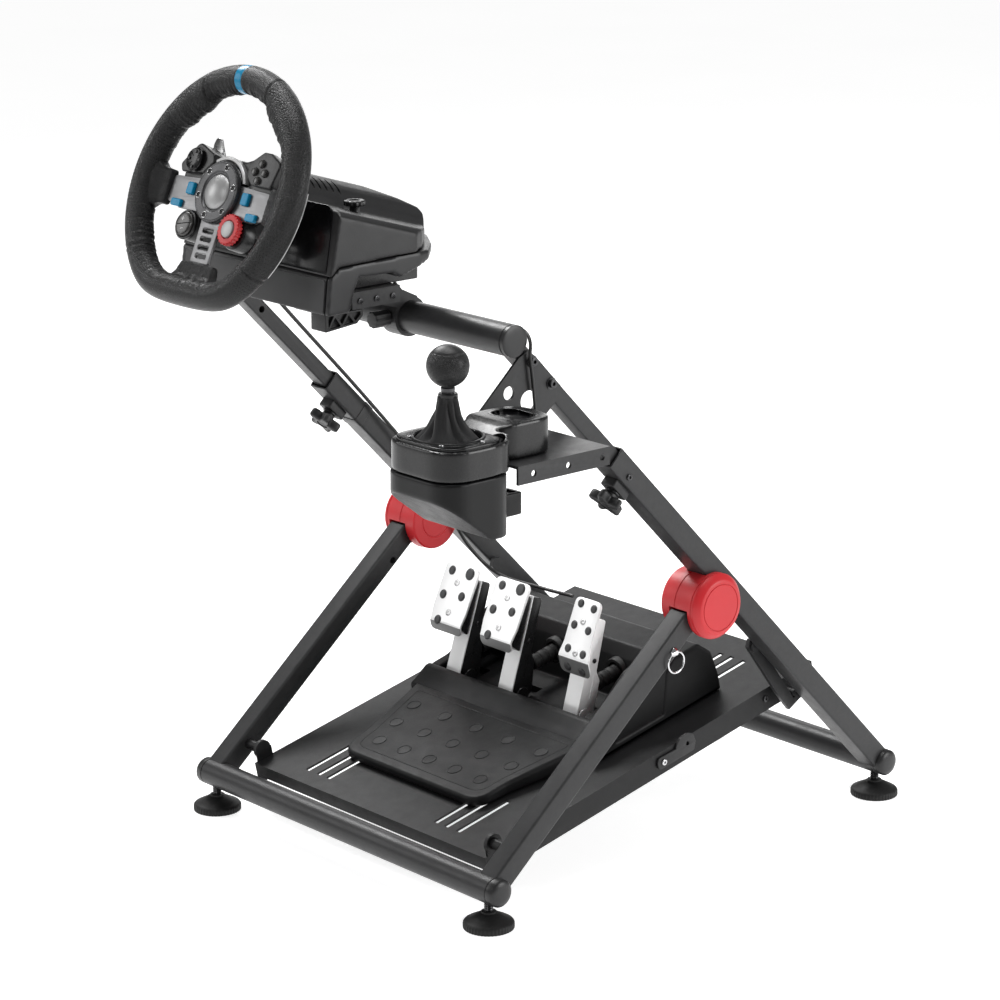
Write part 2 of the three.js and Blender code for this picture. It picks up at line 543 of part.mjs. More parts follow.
// ---- shifter --------------------------------------------------------------------------------------------
function shifterLower() {
  const { x, y, seam, pivot } = SHIFTER;
  const plan = prismZ(roundedRectangle(52, 45, 30, x, y), 455, seam);
  const side = [[y - 50, seam + 1], [y - 50, 524], [y + 12, 477], [y + 60, 474], [y + 60, seam + 1]];
  const clamp = box(x + 12, x + 34, y + 38, y + 68, 490, 513);
  const well = roundZ(37, pivot - 24, 600, x, y, 32);
  const trunnion = roundX(7.5, x - 44.5, x + 44.5, y, pivot, 20);
  mesh('shifter_lower_housing', cut(join(plan.intersect(prismX(side, x - 60, x + 60)), clamp), well, trunnion),
    BLACK_PLASTIC, rig);
}

function shifterUpper() {
  const { x, y, seam, pivot } = SHIFTER;
  const front = prismZ(roundedRectangle(52, 45, 30, x, y), seam + GAP, 572);
  const rear = prismZ(roundedRectangle(34, 40, 30, x - 3, y + 80), SHELF.top + GAP, 582);
  const well = roundZ(37, 500, 600, x, y, 32);
  const trunnion = roundX(7.5, x - 44.5, x + 44.5, y, pivot, 20);
  mesh('shifter_upper_housing', cut(join(front, rear), well, trunnion), BLACK_PLASTIC, rig);
}

function shiftGimbal() {
  const { x, y, pivot } = SHIFTER;
  const bar = roundX(7, x - 44, x + 44, y, pivot, 20);
  const eye = roundY(3.5, y - 10, y + 10, x, pivot, 16);
  mesh('shift_gimbal', cut(bar, eye), STEEL, rig);
}

function shiftLever() {
  const { x, y, pivot, knobZ } = SHIFTER;
  const rod = roundZ(6, pivot + 12, knobZ - 22, x, y, 20);
  const bridge = box(x - 8, x + 8, y - 11, y + 11, pivot + 9, pivot + 16);
  const cheek = box(x - 8, x + 8, y + 8, y + 11, pivot - 8, pivot + 10);
  const otherCheek = box(x - 8, x + 8, y - 11, y - 8, pivot - 8, pivot + 10);
  const pin = roundY(3.1, y - 10.5, y + 10.5, x, pivot, 16);
  mesh('shift_lever', join(rod, bridge, cheek, otherCheek, pin), STEEL, rig);
}

function shiftKnob() {
  const { x, y, knobZ, knob } = SHIFTER;
  const ball = solid(new THREE.SphereGeometry(knob, 22, 13).rotateX(90 * RAD));
  const body = cut(moved(ball, x, y, knobZ), roundZ(6 + GAP, knobZ - 30, knobZ - 12, x, y, 20));
  const flat = box(x - 30, x + 30, y - 30, y + 30, knobZ + knob - 1, knobZ + 40);
  mesh('shift_knob', cut(body, flat), BLACK_PLASTIC, rig);
}

function shiftBoot() {
  const { x, y, pivot } = SHIFTER;
  const outside = [[9.5, 62], [12, 54], [16.5, 42], [24, 28], [31, 19], [33, 14.5], [32.5, 12.5]];
  const inside = [[29.5, 13], [27, 18.5], [20, 27], [12.5, 41], [8.5, 53], [6.4, 61.5]];
  const profile = [...outside, ...inside, outside[0]];
  mesh('shift_boot', moved(turnedZ(profile, 20), x, y, pivot), LEATHER, rig);
}

// ---- pedal plate, hangers and pedals -------------------------------------------------------------------
function pedalPlate() {
  const { half, length, sheet, flange } = PLATE;
  const deck = box(-half, half, 0, length, -sheet, 0);
  const side = box(half - sheet, half, 0, length, -flange, 0);
  const front = box(-half, half, 0, sheet, -16, 0);
  const ear = join(roundX(EAR.radius, half - sheet, half + 2, EAR.along, EAR.up, 24),
    box(half - sheet, half, EAR.along - 10, EAR.along + 12, -2, EAR.up));
  const boss = roundX(6.5, half - 1, LEG.x - LEG.side / 2 - GAP, EAR.along, EAR.up, 20);
  const pin = roundX(4.2, half - 1, HANGER.x + 3.5, HANGER.pinAlong, HANGER.pinUp, 16);
  const slots = [94.5, 112, 132].flatMap((x) => [[x, 23, 100], [x, 345, 482]]).flatMap(([x, from, to]) => [
    box(x - 3.4, x + 3.4, from, to, -9, 5), box(-x - 3.4, 3.4 - x, from, to, -9, 5)]);
  const wings = [side, ear, boss, pin];
  const body = join(deck, front, ...wings, ...wings.map(mirrored));
  mesh('pedal_plate', cut(body, ...slots), POWDER_COAT, plateFrame);
}

// A hook that hangs from the upright and carries the plate's rear pin in an open corner.
function hanger(name, side) {
  const pinY = PLATE.front + HANGER.pinAlong * cos(PLATE.slope) - HANGER.pinUp * sin(PLATE.slope);
  const pinZ = PLATE.height + HANGER.pinAlong * sin(PLATE.slope) + HANGER.pinUp * cos(PLATE.slope);
  const along = [-0.604, 0.797];
  const aside = [-0.797, -0.604];
  const at = (u, v) => [pinY + u * along[0] + v * aside[0], pinZ + u * along[1] + v * aside[1]];
  const outline = [at(-14, -11), at(-4.7, -11), at(-4.7, 4.7), at(20, 4.7), at(104, 4), at(110, 12), at(104, 20),
    at(20, 20), at(-10, 18)];
  const [x0, x1] = [HANGER.x - HANGER.thickness / 2, HANGER.x + HANGER.thickness / 2];
  const [pivotY, pivotZ] = at(98, 12);
  const boss = roundX(7, x1 - 1, UPRIGHT.x - UPRIGHT.width / 2 - GAP, pivotY, pivotZ, 20);
  mesh(name, onSide(join(prismX(outline, x0, x1), boss), side), POWDER_COAT, rig);
}

const PEDALS = [
  { name: 'pedal_left', x: -117, width: 50, foot: [249, 86], top: [290, 150] },
  { name: 'pedal_centre', x: -25, width: 52, foot: [249, 88], top: [290, 154] },
  { name: 'pedal_right', x: 76, width: 40, foot: [263, 67], top: [312, 146] },
];

function pedalBase() {
  const heel = [[66, GAP], [66, 8], [73, 13], [227, 24], [232, 24], [232, GAP]];
  const rear = [[226, GAP], [226, 22], [238, 33], [264, 35], [274, 14], [322, 14], [338, 58], [350, 70], [392, 70],
    [410, 52], [416, 20], [416, GAP]];
  const slots = PEDALS.map(({ x }) => box(x - 15, x + 15, 242, 300, 4, 60));
  const sleeves = PEDALS.map(({ x }) => roundY(11, 302, 345, x, 44, 20));
  const body = join(prismX(heel, -120, 120), prismX(rear, -158, 158), ...sleeves);
  mesh('pedal_base', cut(body, ...slots), BLACK_PLASTIC, plateFrame);
}

// A floor-hinged arm with a plate on it: the plate's lower edge is bent back.
function pedal({ name, x, width, foot: lower, top }) {
  const { pivotAlong: y, pivotUp: z, arm } = PEDAL;
  const length = Math.hypot(top[0] - lower[0], top[1] - lower[1]);
  const [dy, dz] = [(top[0] - lower[0]) / length, (top[1] - lower[1]) / length];
  const onFace = (along, behind) => [lower[0] + dy * along + dz * behind, lower[1] + dz * along - dy * behind];
  const face = [onFace(0, 0), onFace(length, 0), onFace(length, 4), onFace(2, 4), [lower[0] + 9, lower[1] - 9],
    [lower[0] + 5.5, lower[1] - 11.5]];
  const beam = [[y - 9, z + 2], onFace(4, 2), onFace(length * 0.85, 2), onFace(length * 0.85, 12), onFace(8, 16),
    [y + 8, z + 4]];
  const half = arm / 2;
  const barrel = roundX(9, x - half, x + half, y, z, 20);
  mesh(name, join(prismX(face, x - width / 2, x + width / 2), prismX(beam, x - half, x + half), barrel),
    STEEL, plateFrame);
}

// ---- cables ---------------------------------------------------------------------------------------------
function cable(name, radius, points, steps) {
  const path = new THREE.CatmullRomCurve3(points.map((p) => new THREE.Vector3(...p)), false, 'centripetal');
  const shape = new THREE.Shape(circle(radius, 0, 0, 7).map(([u, v]) => new THREE.Vector2(u, v)));
  const geometry = new THREE.ExtrudeGeometry(shape, { extrudePath: path, steps });
  mesh(name, solid(geometry), SOFT_CORD, rig);
}

const SHIFTER_CABLE = [
  [40, 30, 687], [44, 36, 672], [60, 45, 652], [100, 46, 646], [200, 46, 646], [244, 46, 645], [257, 42, 636],
  [258, 41, 622], [258, 44, 600], [258, 47, 575], [262, 46, 556], [284, 32, 552], [306, 14, 556], [310, 4, 560],
];
const PEDAL_CABLE = [
  [-40, 30, 687], [-44, 36, 672], [-60, 45, 652], [-100, 46, 646], [-190, 46, 646], [-212, 52, 636],
  [-217, 90, 596], [-217, 200, 480], [-213, 262, 410], [-206, 300, 362], [-204, 335, 300], [-200, 357, 262],
  [-180, 385, 226], [-120, 405, 216], [-70, 410, 216],
];

// ---- assembly -------------------------------------------------------------------------------------------
floorBar('front_floor_bar', 0);
floorBar('rear_floor_bar', WHEELBASE);
foot('foot_front_left', -FOOT.x, 0);
foot('foot_front_right', FOOT.x, 0);
foot('foot_rear_left', -FOOT.x, WHEELBASE);
foot('foot_rear_right', FOOT.x, WHEELBASE);
for (const [word, side] of [['left', -1], ['right', 1]]) {
  hub(`hub_${word}`, side);
  leg(`front_leg_${word}`, side);
  outerUpright(`outer_upright_${word}`, side);
  innerUpright(`inner_upright_${word}`, side);
  lockKnob(`lock_knob_${word}`, side);
  hanger(`plate_hanger_${word}`, side);
  baseClamp(`base_clamp_${word}`, side);
  baseKnob(`base_knob_${word}`, side);
  paddle(`shift_paddle_${word}`, side);
}
lockingPin();
crossbar();
shifterBracket();
wheelDeck();
deckKnob();
baseLower();
baseUpper();
steeringShaft();
rim();
spokePlate();
controlHousing();
hubRing();
wheelControls();
shifterLower();
shifterUpper();
shiftGimbal();
shiftLever();
shiftKnob();
shiftBoot();
pedalPlate();
pedalBase();
PEDALS.forEach(pedal);
cable('shifter_cable', 1.8, SHIFTER_CABLE, 44);
cable('pedal_cable', 2.2, PEDAL_CABLE, 54);

// The part's origin is on the floor, under the middle of its bounding box.
const model = new THREE.Group();
model.add(rig);
const bounds = new THREE.Box3().setFromObject(model, true);
const middle = bounds.getCenter(new THREE.Vector3());
rig.position.set(-middle.x, -middle.y, -bounds.min.z);

export default model;
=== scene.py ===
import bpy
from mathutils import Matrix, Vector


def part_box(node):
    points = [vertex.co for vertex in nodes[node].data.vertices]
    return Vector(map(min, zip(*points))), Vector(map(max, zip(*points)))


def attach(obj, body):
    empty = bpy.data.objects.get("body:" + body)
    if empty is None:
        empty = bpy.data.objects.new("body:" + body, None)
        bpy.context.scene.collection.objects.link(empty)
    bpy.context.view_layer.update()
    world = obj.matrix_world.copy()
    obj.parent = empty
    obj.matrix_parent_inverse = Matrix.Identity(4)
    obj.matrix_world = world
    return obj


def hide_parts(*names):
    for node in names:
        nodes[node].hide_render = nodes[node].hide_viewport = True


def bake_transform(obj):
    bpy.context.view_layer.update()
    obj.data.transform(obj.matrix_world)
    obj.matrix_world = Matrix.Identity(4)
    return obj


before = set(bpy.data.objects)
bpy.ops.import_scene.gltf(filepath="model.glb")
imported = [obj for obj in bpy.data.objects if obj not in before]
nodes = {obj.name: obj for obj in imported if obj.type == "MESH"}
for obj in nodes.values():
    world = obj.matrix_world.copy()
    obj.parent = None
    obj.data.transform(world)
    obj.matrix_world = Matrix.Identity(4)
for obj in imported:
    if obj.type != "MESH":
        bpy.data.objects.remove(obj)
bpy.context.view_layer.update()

import math

import bmesh
import bpy
from mathutils import Matrix, Vector, noise

# A racing wheel, shifter and pedals on a folding stand. Sizes are in millimetres in the frames below;
# RIG turns them into metres. Every CAD node is dressed, or is stood for by the pieces made here.
TAU = 2 * math.pi
scene = bpy.context.scene

# ---- frames, in millimetres --------------------------------------------------------------------
low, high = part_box("front_floor_bar")
RIG = Matrix.Translation(((low[0] + high[0]) / 2, (low[1] + high[1]) / 2, 0)) @ Matrix.Scale(0.001, 4)


def frame_at(y, z, degrees):
    """A frame on the rig's middle plane, tipped back by degrees."""
    return RIG @ Matrix.Translation((0, y, z)) @ Matrix.Rotation(math.radians(degrees), 4, "X")


# driving dimensions, shared with the CAD
WHEELBASE = 612
BAR_HEIGHT = 44
LEG_ANGLE = 40.12
TUBE_X = 239.5  # centre of each leg and upright
HUB_CENTRE = (389.9, 31.2)  # along and above an upright
PIN_HOLE = (335.6, -6)  # along and above a leg
KNOB_DEPTH = (594, 0)  # along and above an upright
BASE_HALF = 126  # half the width of the wheel base
BASE_KNOB = (80, -43, 0)
UPRIGHT = frame_at(WHEELBASE, BAR_HEIGHT, 134.73)
LEG = frame_at(0, BAR_HEIGHT, LEG_ANGLE)
PLATE = frame_at(27.8, 60.4, 12.5)
WHEEL = frame_at(-160.6, 782.1, 66.7)
ALONG_X = Matrix(((0, 0, 1, 0), (1, 0, 0, 0), (0, 1, 0, 0), (0, 0, 0, 1)))
ALONG_TUBE = Matrix(((0, 1, 0, 0), (0, 0, 1, 0), (1, 0, 0, 0), (0, 0, 0, 1)))
SWAP_YZ = Matrix(((1, 0, 0, 0), (0, 0, 1, 0), (0, 1, 0, 0), (0, 0, 0, 1)))
ACROSS = Matrix.Rotation(math.pi / 2, 4, "Y")
REARWARD = Matrix.Rotation(-math.pi / 2, 4, "X")
AXLE = (21.78, 639.89)  # of the crossbar
SHIFTER = (313, -118)
PIVOT = (*SHIFTER, 554)  # of the shift lever
CLAMP_KNOB = (347, -88, 0)
# on the wheel
PAD_CENTRE = (-49, 28.3, 0)
BUTTONS_CENTRE = (57.7, 28.3)
ROCKER_CENTRE = (-38.5, -39.5, 0)
DIAL_CENTRE = (38.5, -35.6, 0)
ACCENTS = ((-46, -1.5, 5.5, 6.5), (46, -1.5, 5.5, 6.5), (-63, -19, 8, 4), (63, -19, 8, 4))
FACE = (("top", 0, 9), ("right", 8, 0), ("bottom", 0, -9), ("left", -8, 0))


def at(x, y, z):
    return Matrix.Translation((x, y, z))


# ---- camera ------------------------------------------------------------------------------------
CAMERA_AT = Vector((2684.5, -2169.9, 1367.6))


def add_camera():
    azimuth, elevation = math.radians(48.2), math.radians(15.3)
    back = Vector((math.sin(azimuth) * math.cos(elevation), -math.cos(azimuth) * math.cos(elevation),
        math.sin(elevation)))
    data = bpy.data.cameras.new("camera")
    data.sensor_width = 36
    data.lens = 118.4
    data.clip_end = 50
    camera = bpy.data.objects.new("camera", data)
    camera.location = RIG @ CAMERA_AT
    camera.rotation_euler = (-back).to_track_quat("-Z", "Y").to_euler()
    scene.collection.objects.link(camera)
    scene.camera = camera


add_camera()


# ---- materials ---------------------------------------------------------------------------------
class Graph:
    """A material and short ways to add nodes to it."""
    def __init__(self, name):
        self.material = bpy.data.materials.new(name)
        self.material.use_nodes = True
        self.tree = self.material.node_tree
        self.shader = self.tree.nodes["Principled BSDF"]
        self.place = self.add("ShaderNodeTexCoord").outputs["Object"]

    def add(self, kind, **inputs):
        node = self.tree.nodes.new(kind)
        for key, value in inputs.items():
            self.set(node.inputs[key.replace("_", " ")], value)
        return node

    def set(self, socket, value):
        if isinstance(value, bpy.types.NodeSocket):
            self.tree.links.new(value, socket)
        else:
            socket.default_value = value

    def math(self, operation, a, b=0.0, c=0.0):
        node = self.tree.nodes.new("ShaderNodeMath")
        node.operation = operation
        for socket, value in zip(node.inputs, (a, b, c)):
            self.set(socket, value)
        return node.outputs[0]

    def noise(self, scale, detail=3.0, vector=None):
        node = self.add("ShaderNodeTexNoise", Scale=scale, Detail=detail, Roughness=0.55)
        self.set(node.inputs["Vector"], vector or self.place)
        return node.outputs["Fac"]

    def spread(self, value, low_in, high_in, low_out, high_out):
        node = self.tree.nodes.new("ShaderNodeMapRange")
        for socket, v in zip(node.inputs, (value, low_in, high_in, low_out, high_out)):
            self.set(socket, v)
        return node.outputs[0]

    def mix(self, factor, a, b, mode="MIX"):
        node = self.tree.nodes.new("ShaderNodeMix")
        node.data_type = "RGBA"
        node.blend_type = mode
        self.set(node.inputs[0], factor)
        self.set(node.inputs[6], a)
        self.set(node.inputs[7], b)
        return node.outputs[2]

    def bump(self, height, strength, distance):
        return self.add("ShaderNodeBump", Strength=strength, Distance=distance, Height=height).outputs[0]

    def stretched(self, scale):
        return self.add("ShaderNodeMapping", Vector=self.place, Scale=scale).outputs[0]

    def grey(self, tone):
        return self.add("ShaderNodeCombineColor", Red=tone, Green=tone, Blue=tone).outputs[0]


def rgba(color):
    return (*color, 1.0)


def finish_of(name, color, rough, metal=0.0, grain=1500.0, bump=0.1, depth=0.0002, vary=0.12, wear=0.0,
        coat=0.0, sheen=0.0, brushed=None, cloud=14.0, specular=0.5):
    g = Graph(name)
    tone = g.spread(g.noise(cloud, 4), 0.3, 0.7, 1 - vary, 1 + vary)
    tint = g.mix(1.0, rgba(color), g.grey(tone), "MULTIPLY")
    if wear:
        edge = g.add("ShaderNodeNewGeometry").outputs["Pointiness"]
        worn = g.math("MULTIPLY", g.spread(edge, 0.53, 0.62, 0, wear), g.noise(180, 3))
        tint = g.mix(worn, tint, rgba([min(1, c * 2.2 + 0.05) for c in color]))
    g.set(g.shader.inputs["Base Color"], tint)
    fine = g.noise(grain, 2, g.stretched(brushed) if brushed else None)
    g.set(g.shader.inputs["Roughness"], g.spread(g.math("ADD", g.noise(cloud * 5, 3), fine), 0.7, 1.3,
        max(0.02, rough - 0.06), rough + 0.07))
    g.set(g.shader.inputs["Normal"], g.bump(fine, bump, depth))
    g.shader.inputs["Metallic"].default_value = metal
    g.shader.inputs["Coat Weight"].default_value = coat
    g.shader.inputs["Coat Roughness"].default_value = 0.12
    g.shader.inputs["Sheen Weight"].default_value = sheen
    g.shader.inputs["Specular IOR Level"].default_value = specular
    return g.material


def leather(name, color, perforated=False):
    g = Graph(name)
    cells = g.add("ShaderNodeTexVoronoi", Scale=620.0, Vector=g.place)
    cells.feature = "DISTANCE_TO_EDGE"
    creases = g.spread(cells.outputs["Distance"], 0, 0.16, 0, 1)
    height = g.math("MULTIPLY_ADD", g.noise(260, 3), 0.5, creases)
    tone = g.spread(g.noise(22, 4), 0.3, 0.7, 0.8, 1.25)
    tint = g.mix(1.0, rgba(color), g.grey(tone), "MULTIPLY")
    # the grain's raised cells are painted lighter than its creases: painted shade in the creases
    tint = g.mix(g.math("MULTIPLY", creases, 0.35), tint, rgba([c * 1.5 for c in color]))
    if perforated:
        uv = g.add("ShaderNodeUVMap").outputs[0]
        split = g.add("ShaderNodeSeparateXYZ", Vector=uv)
        column = g.math("MULTIPLY", split.outputs[0], 220.0)
        row = g.math("MULTIPLY_ADD", split.outputs[1], 28.0, g.math("MULTIPLY", g.math("FLOOR", column),
            0.5))
        du = g.math("SUBTRACT", g.math("FRACT", column), 0.5)
        dv = g.math("SUBTRACT", g.math("FRACT", row), 0.5)
        far = g.math("SQRT", g.math("ADD", g.math("MULTIPLY", du, du), g.math("MULTIPLY", dv, dv)))
        hole = g.spread(far, 0.16, 0.26, 1, 0)
        # the holes are painted near-black: painted shade inside the holes
        tint = g.mix(hole, tint, rgba([c * 0.15 for c in color]))
        height = g.math("SUBTRACT", height, g.math("MULTIPLY", hole, 2.5))
    g.set(g.shader.inputs["Base Color"], tint)
    g.set(g.shader.inputs["Roughness"], g.spread(g.math("ADD", creases, g.noise(60, 3)), 0.3, 1.6, 0.5,
        0.34))
    g.set(g.shader.inputs["Normal"], g.bump(height, 0.75, 0.0005))
    g.shader.inputs["Specular IOR Level"].default_value = 0.34
    return g.material


COAT = finish_of("powder_coat", (0.018, 0.018, 0.0187), 0.38, grain=1300, bump=0.22, depth=0.0003,
    wear=0.35, specular=0.32)
FLOOR_COAT = finish_of("plate_coat", (0.0085, 0.0085, 0.009), 0.44, grain=1300, bump=0.22, depth=0.0003,
    wear=0.35, specular=0.24)
CAP = finish_of("cap_plastic", (0.013, 0.013, 0.0135), 0.36, grain=2600, bump=0.08, specular=0.4)
PLASTIC = finish_of("black_plastic", (0.007, 0.007, 0.0074), 0.3, grain=2400, bump=0.1, wear=0.2,
    specular=0.42)
TEXTURED = finish_of("textured_plastic", (0.011, 0.011, 0.0115), 0.45, grain=900, bump=0.3, depth=0.0004,
    wear=0.15, specular=0.4)
GLOSS = finish_of("gloss_plastic", (0.002, 0.002, 0.0024), 0.2, grain=900, bump=0.02, coat=0.15,
    specular=0.3)
DEEP = finish_of("deep_black_plastic", (0.0035, 0.0035, 0.0038), 0.34, grain=1300, bump=0.2, depth=0.0003,
    specular=0.22)
PALE = finish_of("panel_grey", (0.042, 0.042, 0.043), 0.42, grain=2400, bump=0.1, specular=0.35)
GREY = finish_of("grey_plastic", (0.017, 0.017, 0.0178), 0.36, grain=2400, bump=0.1, specular=0.35)
RUBBER = finish_of("rubber", (0.009, 0.009, 0.009), 0.55, grain=700, bump=0.2, depth=0.0003, specular=0.3)
STUD = finish_of("stud_rubber", (0.03, 0.03, 0.031), 0.42, grain=900, bump=0.2, depth=0.0003)
RED = finish_of("hub_red", (0.52, 0.016, 0.022), 0.42, grain=2000, bump=0.06, vary=0.05, specular=0.4)
DIAL_RED = finish_of("dial_red", (0.45, 0.009, 0.013), 0.36, grain=2000, bump=0.05, vary=0.06, specular=0.4)
BLUE = finish_of("accent_blue", (0.002, 0.19, 0.35), 0.26, grain=2000, bump=0.03, vary=0.05, specular=0.25)
BUTTON = finish_of("button_grey", (0.035, 0.034, 0.033), 0.24, grain=2000, bump=0.05, coat=0.2)
MARK = finish_of("marking_white", (0.55, 0.55, 0.55), 0.45, grain=2000, bump=0.03)
SATIN = finish_of("satin_metal", (0.5, 0.5, 0.5), 0.28, 1.0, grain=900, bump=0.1, brushed=(0.06, 1, 1))
PEDAL = finish_of("pedal_metal", (0.84, 0.84, 0.84), 0.34, 0.4, grain=900, bump=0.03,
    brushed=(1, 0.06, 0.06), vary=0.02)
CHROME = finish_of("chrome", (0.62, 0.62, 0.63), 0.1, 1.0, grain=500, bump=0.02)
DARK_STEEL = finish_of("dark_steel", (0.06, 0.06, 0.062), 0.3, 0.9, grain=900, bump=0.08)
SPOKE = finish_of("spoke_metal", (0.17, 0.17, 0.173), 0.32, 0.85, grain=900, bump=0.06,
    brushed=(0.05, 1, 1), wear=0.3)
RING = finish_of("ring_dark", (0.045, 0.045, 0.047), 0.26, 0.6, grain=1600, bump=0.04, wear=0.8)
DOME = finish_of("dome_grey", (0.34, 0.34, 0.34), 0.4, 0.6, grain=2000, bump=0.03)
# the folded lip of a pedal face: the same steel as the face, painted darker as painted shade
PAINTED_LIP_SHADE = finish_of("lip_painted_shade", (0.15, 0.15, 0.15), 0.42, 0.35, grain=900, bump=0.05, brushed=(0.06, 1, 1),
    vary=0.08)
PEDAL_BASE = finish_of("pedal_base_plastic", (0.0042, 0.0042, 0.0046), 0.46, grain=1100, bump=0.3,
    depth=0.0004, specular=0.18)
SHELL = finish_of("shell_plastic", (0.006, 0.006, 0.0064), 0.26, grain=2600, bump=0.06, specular=0.4)
CORD = finish_of("cord_jacket", (0.012, 0.012, 0.012), 0.42, grain=1500, bump=0.1)
HIDE = leather("leather", (0.007, 0.007, 0.0073))
HOLED = leather("perforated_leather", (0.007, 0.007, 0.0073), perforated=True)
LINING = finish_of("boot_fabric", (0.0125, 0.0125, 0.013), 0.6, grain=1600, bump=0.35, depth=0.0004,
    sheen=0.12, specular=0.3)


# ---- meshes: everything is modelled in millimetres in a local frame, then placed by a matrix ---
def fillet(points, radius, steps=5):
    """An outline with rounded corners; a point's third value is its own radius."""
    out = []
    count = len(points)
    for i, point in enumerate(points):
        r = point[2] if len(point) > 2 else radius
        p = Vector(point[:2])
        a = Vector(points[i - 1][:2]) - p
        b = Vector(points[(i + 1) % count][:2]) - p
        if r <= 0:
            out.append(tuple(p))
            continue
        angle = a.angle(b, math.pi)
        reach = min(r / max(0.05, math.tan(angle / 2)), a.length * 0.49, b.length * 0.49)
        start, end = p + a.normalized() * reach, p + b.normalized() * reach
        for k in range(steps + 1):
            t = k / steps
            out.append(tuple(start * (1 - t) ** 2 + p * 2 * t * (1 - t) + end * t * t))
    return out


def rectangle(x0, x1, y0, y1, radius, steps=5):
    return fillet([(x0, y0), (x1, y0), (x1, y1), (x0, y1)], radius, steps)


def ring(radius, x=0, y=0, steps=40):
    return [(x + radius * math.cos(i * TAU / steps), y + radius * math.sin(i * TAU / steps))
        for i in range(steps)]


def from_faces(verts, faces, indices=None):
    mesh = bpy.data.meshes.new("m")
    mesh.from_pydata([tuple(v) for v in verts], [], faces)
    if indices:
        for polygon, index in zip(mesh.polygons, indices):
            polygon.material_index = index
    return mesh


def grid_faces(rows, sides, closed=False):
    """Quads between rows of points, where each row is a closed loop."""
    faces = []
    for i in range(rows if closed else rows - 1):
        j = (i + 1) % rows
        for k in range(sides):
            n = (k + 1) % sides
            faces.append((i * sides + k, i * sides + n, j * sides + n, j * sides + k))
    return faces


def cleaned(mesh, outward=True):
    """Merges doubled points and, if asked, turns every face outwards."""
    b = bmesh.new()
    b.from_mesh(mesh)
    bmesh.ops.remove_doubles(b, verts=b.verts, dist=1e-3)
    bmesh.ops.dissolve_degenerate(b, edges=b.edges, dist=1e-4)
    if outward:
        bmesh.ops.recalc_face_normals(b, faces=b.faces)
    b.to_mesh(mesh)
    b.free()
    return mesh


def baked(obj, extra=()):
    """The evaluated mesh of an object, which is then removed."""
    bpy.context.view_layer.update()
    mesh = bpy.data.meshes.new_from_object(obj.evaluated_get(bpy.context.evaluated_depsgraph_get()))
    for o in [obj, *extra]:
        bpy.data.objects.remove(o)
    return mesh


def evaluated(mesh, modify):
    obj = bpy.data.objects.new("tmp", mesh)
    scene.collection.objects.link(obj)
    return baked(obj, modify(obj) or [])


def slab(loops, z0, z1, bevel=0.6, steps=2):
    """A flat outline with holes, carried from z0 to z1 with rounded edges."""
    curve = bpy.data.curves.new("c", "CURVE")
    curve.dimensions = "2D"
    curve.fill_mode = "BOTH"
    curve.extrude = (z1 - z0) / 2 - bevel
    curve.bevel_depth = bevel
    curve.bevel_resolution = steps
    curve.offset = -bevel
    for loop in loops:
        spline = curve.splines.new("POLY")
        spline.points.add(len(loop) - 1)
        for point, (x, y) in zip(spline.points, loop):
            point.co = (x, y, 0, 1)
        spline.use_cyclic_u = True
    obj = bpy.data.objects.new("tmp", curve)
    scene.collection.objects.link(obj)
    mesh = baked(obj)
    mesh.transform(at(0, 0, (z0 + z1) / 2))
    return cleaned(mesh)


def lathe(profile, sides=64, shape=None):
    """A profile of (radius, height[, material]) turned about Z. shape(angle, i) scales the radius."""
    verts = []
    for i, point in enumerate(profile):
        for k in range(sides):
            a = k * TAU / sides
            r = point[0] * (shape(a, i) if shape else 1)
            verts.append((r * math.cos(a), r * math.sin(a), point[1]))
    indices = [point[2] if len(point) > 2 else 0 for point in profile[:-1] for k in range(sides)]
    return cleaned(from_faces(verts, grid_faces(len(profile), sides), indices))


def block(x0, x1, y0, y1, z0, z1, radius=2.0, bevel=0.8):
    r = min(radius, (x1 - x0) / 2.05, (y1 - y0) / 2.05)
    return slab([rectangle(x0, x1, y0, y1, r, 4)], z0, z1, min(bevel, (z1 - z0) / 2.2))


def sweep(points, radius, sides, closed=False):
    """A round tube along points."""
    points = [Vector(p) for p in points]
    count = len(points)
    verts = []
    side = None
    for i, p in enumerate(points):
        ahead = points[(i + 1) % count] if closed or i + 1 < count else p
        behind = points[i - 1] if closed or i else p
        tangent = (ahead - behind).normalized()
        if side is None:
            side = tangent.orthogonal().normalized()
        side = (side - tangent * side.dot(tangent)).normalized()
        other = tangent.cross(side)
        for k in range(sides):
            a = k * TAU / sides
            verts.append(p + (side * math.cos(a) + other * math.sin(a)) * radius)
    faces = grid_faces(count, sides, closed)
    if not closed:
        faces.append(tuple(range(sides))[::-1])
        faces.append(tuple((count - 1) * sides + k for k in range(sides)))
    return cleaned(from_faces(verts, faces))


def spline_through(points, count):
    """A centripetal Catmull-Rom curve through the points."""
    pts = [Vector(p) for p in points]
    pts = [pts[0] * 2 - pts[1], *pts, pts[-1] * 2 - pts[-2]]
    out = []
    spans = len(pts) - 3
    for i in range(count + 1):
        u = min(spans - 1e-6, spans * i / count)
        k = int(u)
        p = pts[k:k + 4]
        t = [0.0]
        for a, b in zip(p, p[1:]):
            t.append(t[-1] + max(1e-3, (b - a).length ** 0.5))
        x = t[1] + (t[2] - t[1]) * (u - k)
        a = [p[j] * ((t[j + 1] - x) / (t[j + 1] - t[j])) + p[j + 1] * ((x - t[j]) / (t[j + 1] - t[j]))
            for j in range(3)]
        b = [a[j] * ((t[j + 2] - x) / (t[j + 2] - t[j])) + a[j + 1] * ((x - t[j]) / (t[j + 2] - t[j]))
            for j in range(2)]
        out.append(b[0] * ((t[2] - x) / (t[2] - t[1])) + b[1] * ((x - t[1]) / (t[2] - t[1])))
    return out


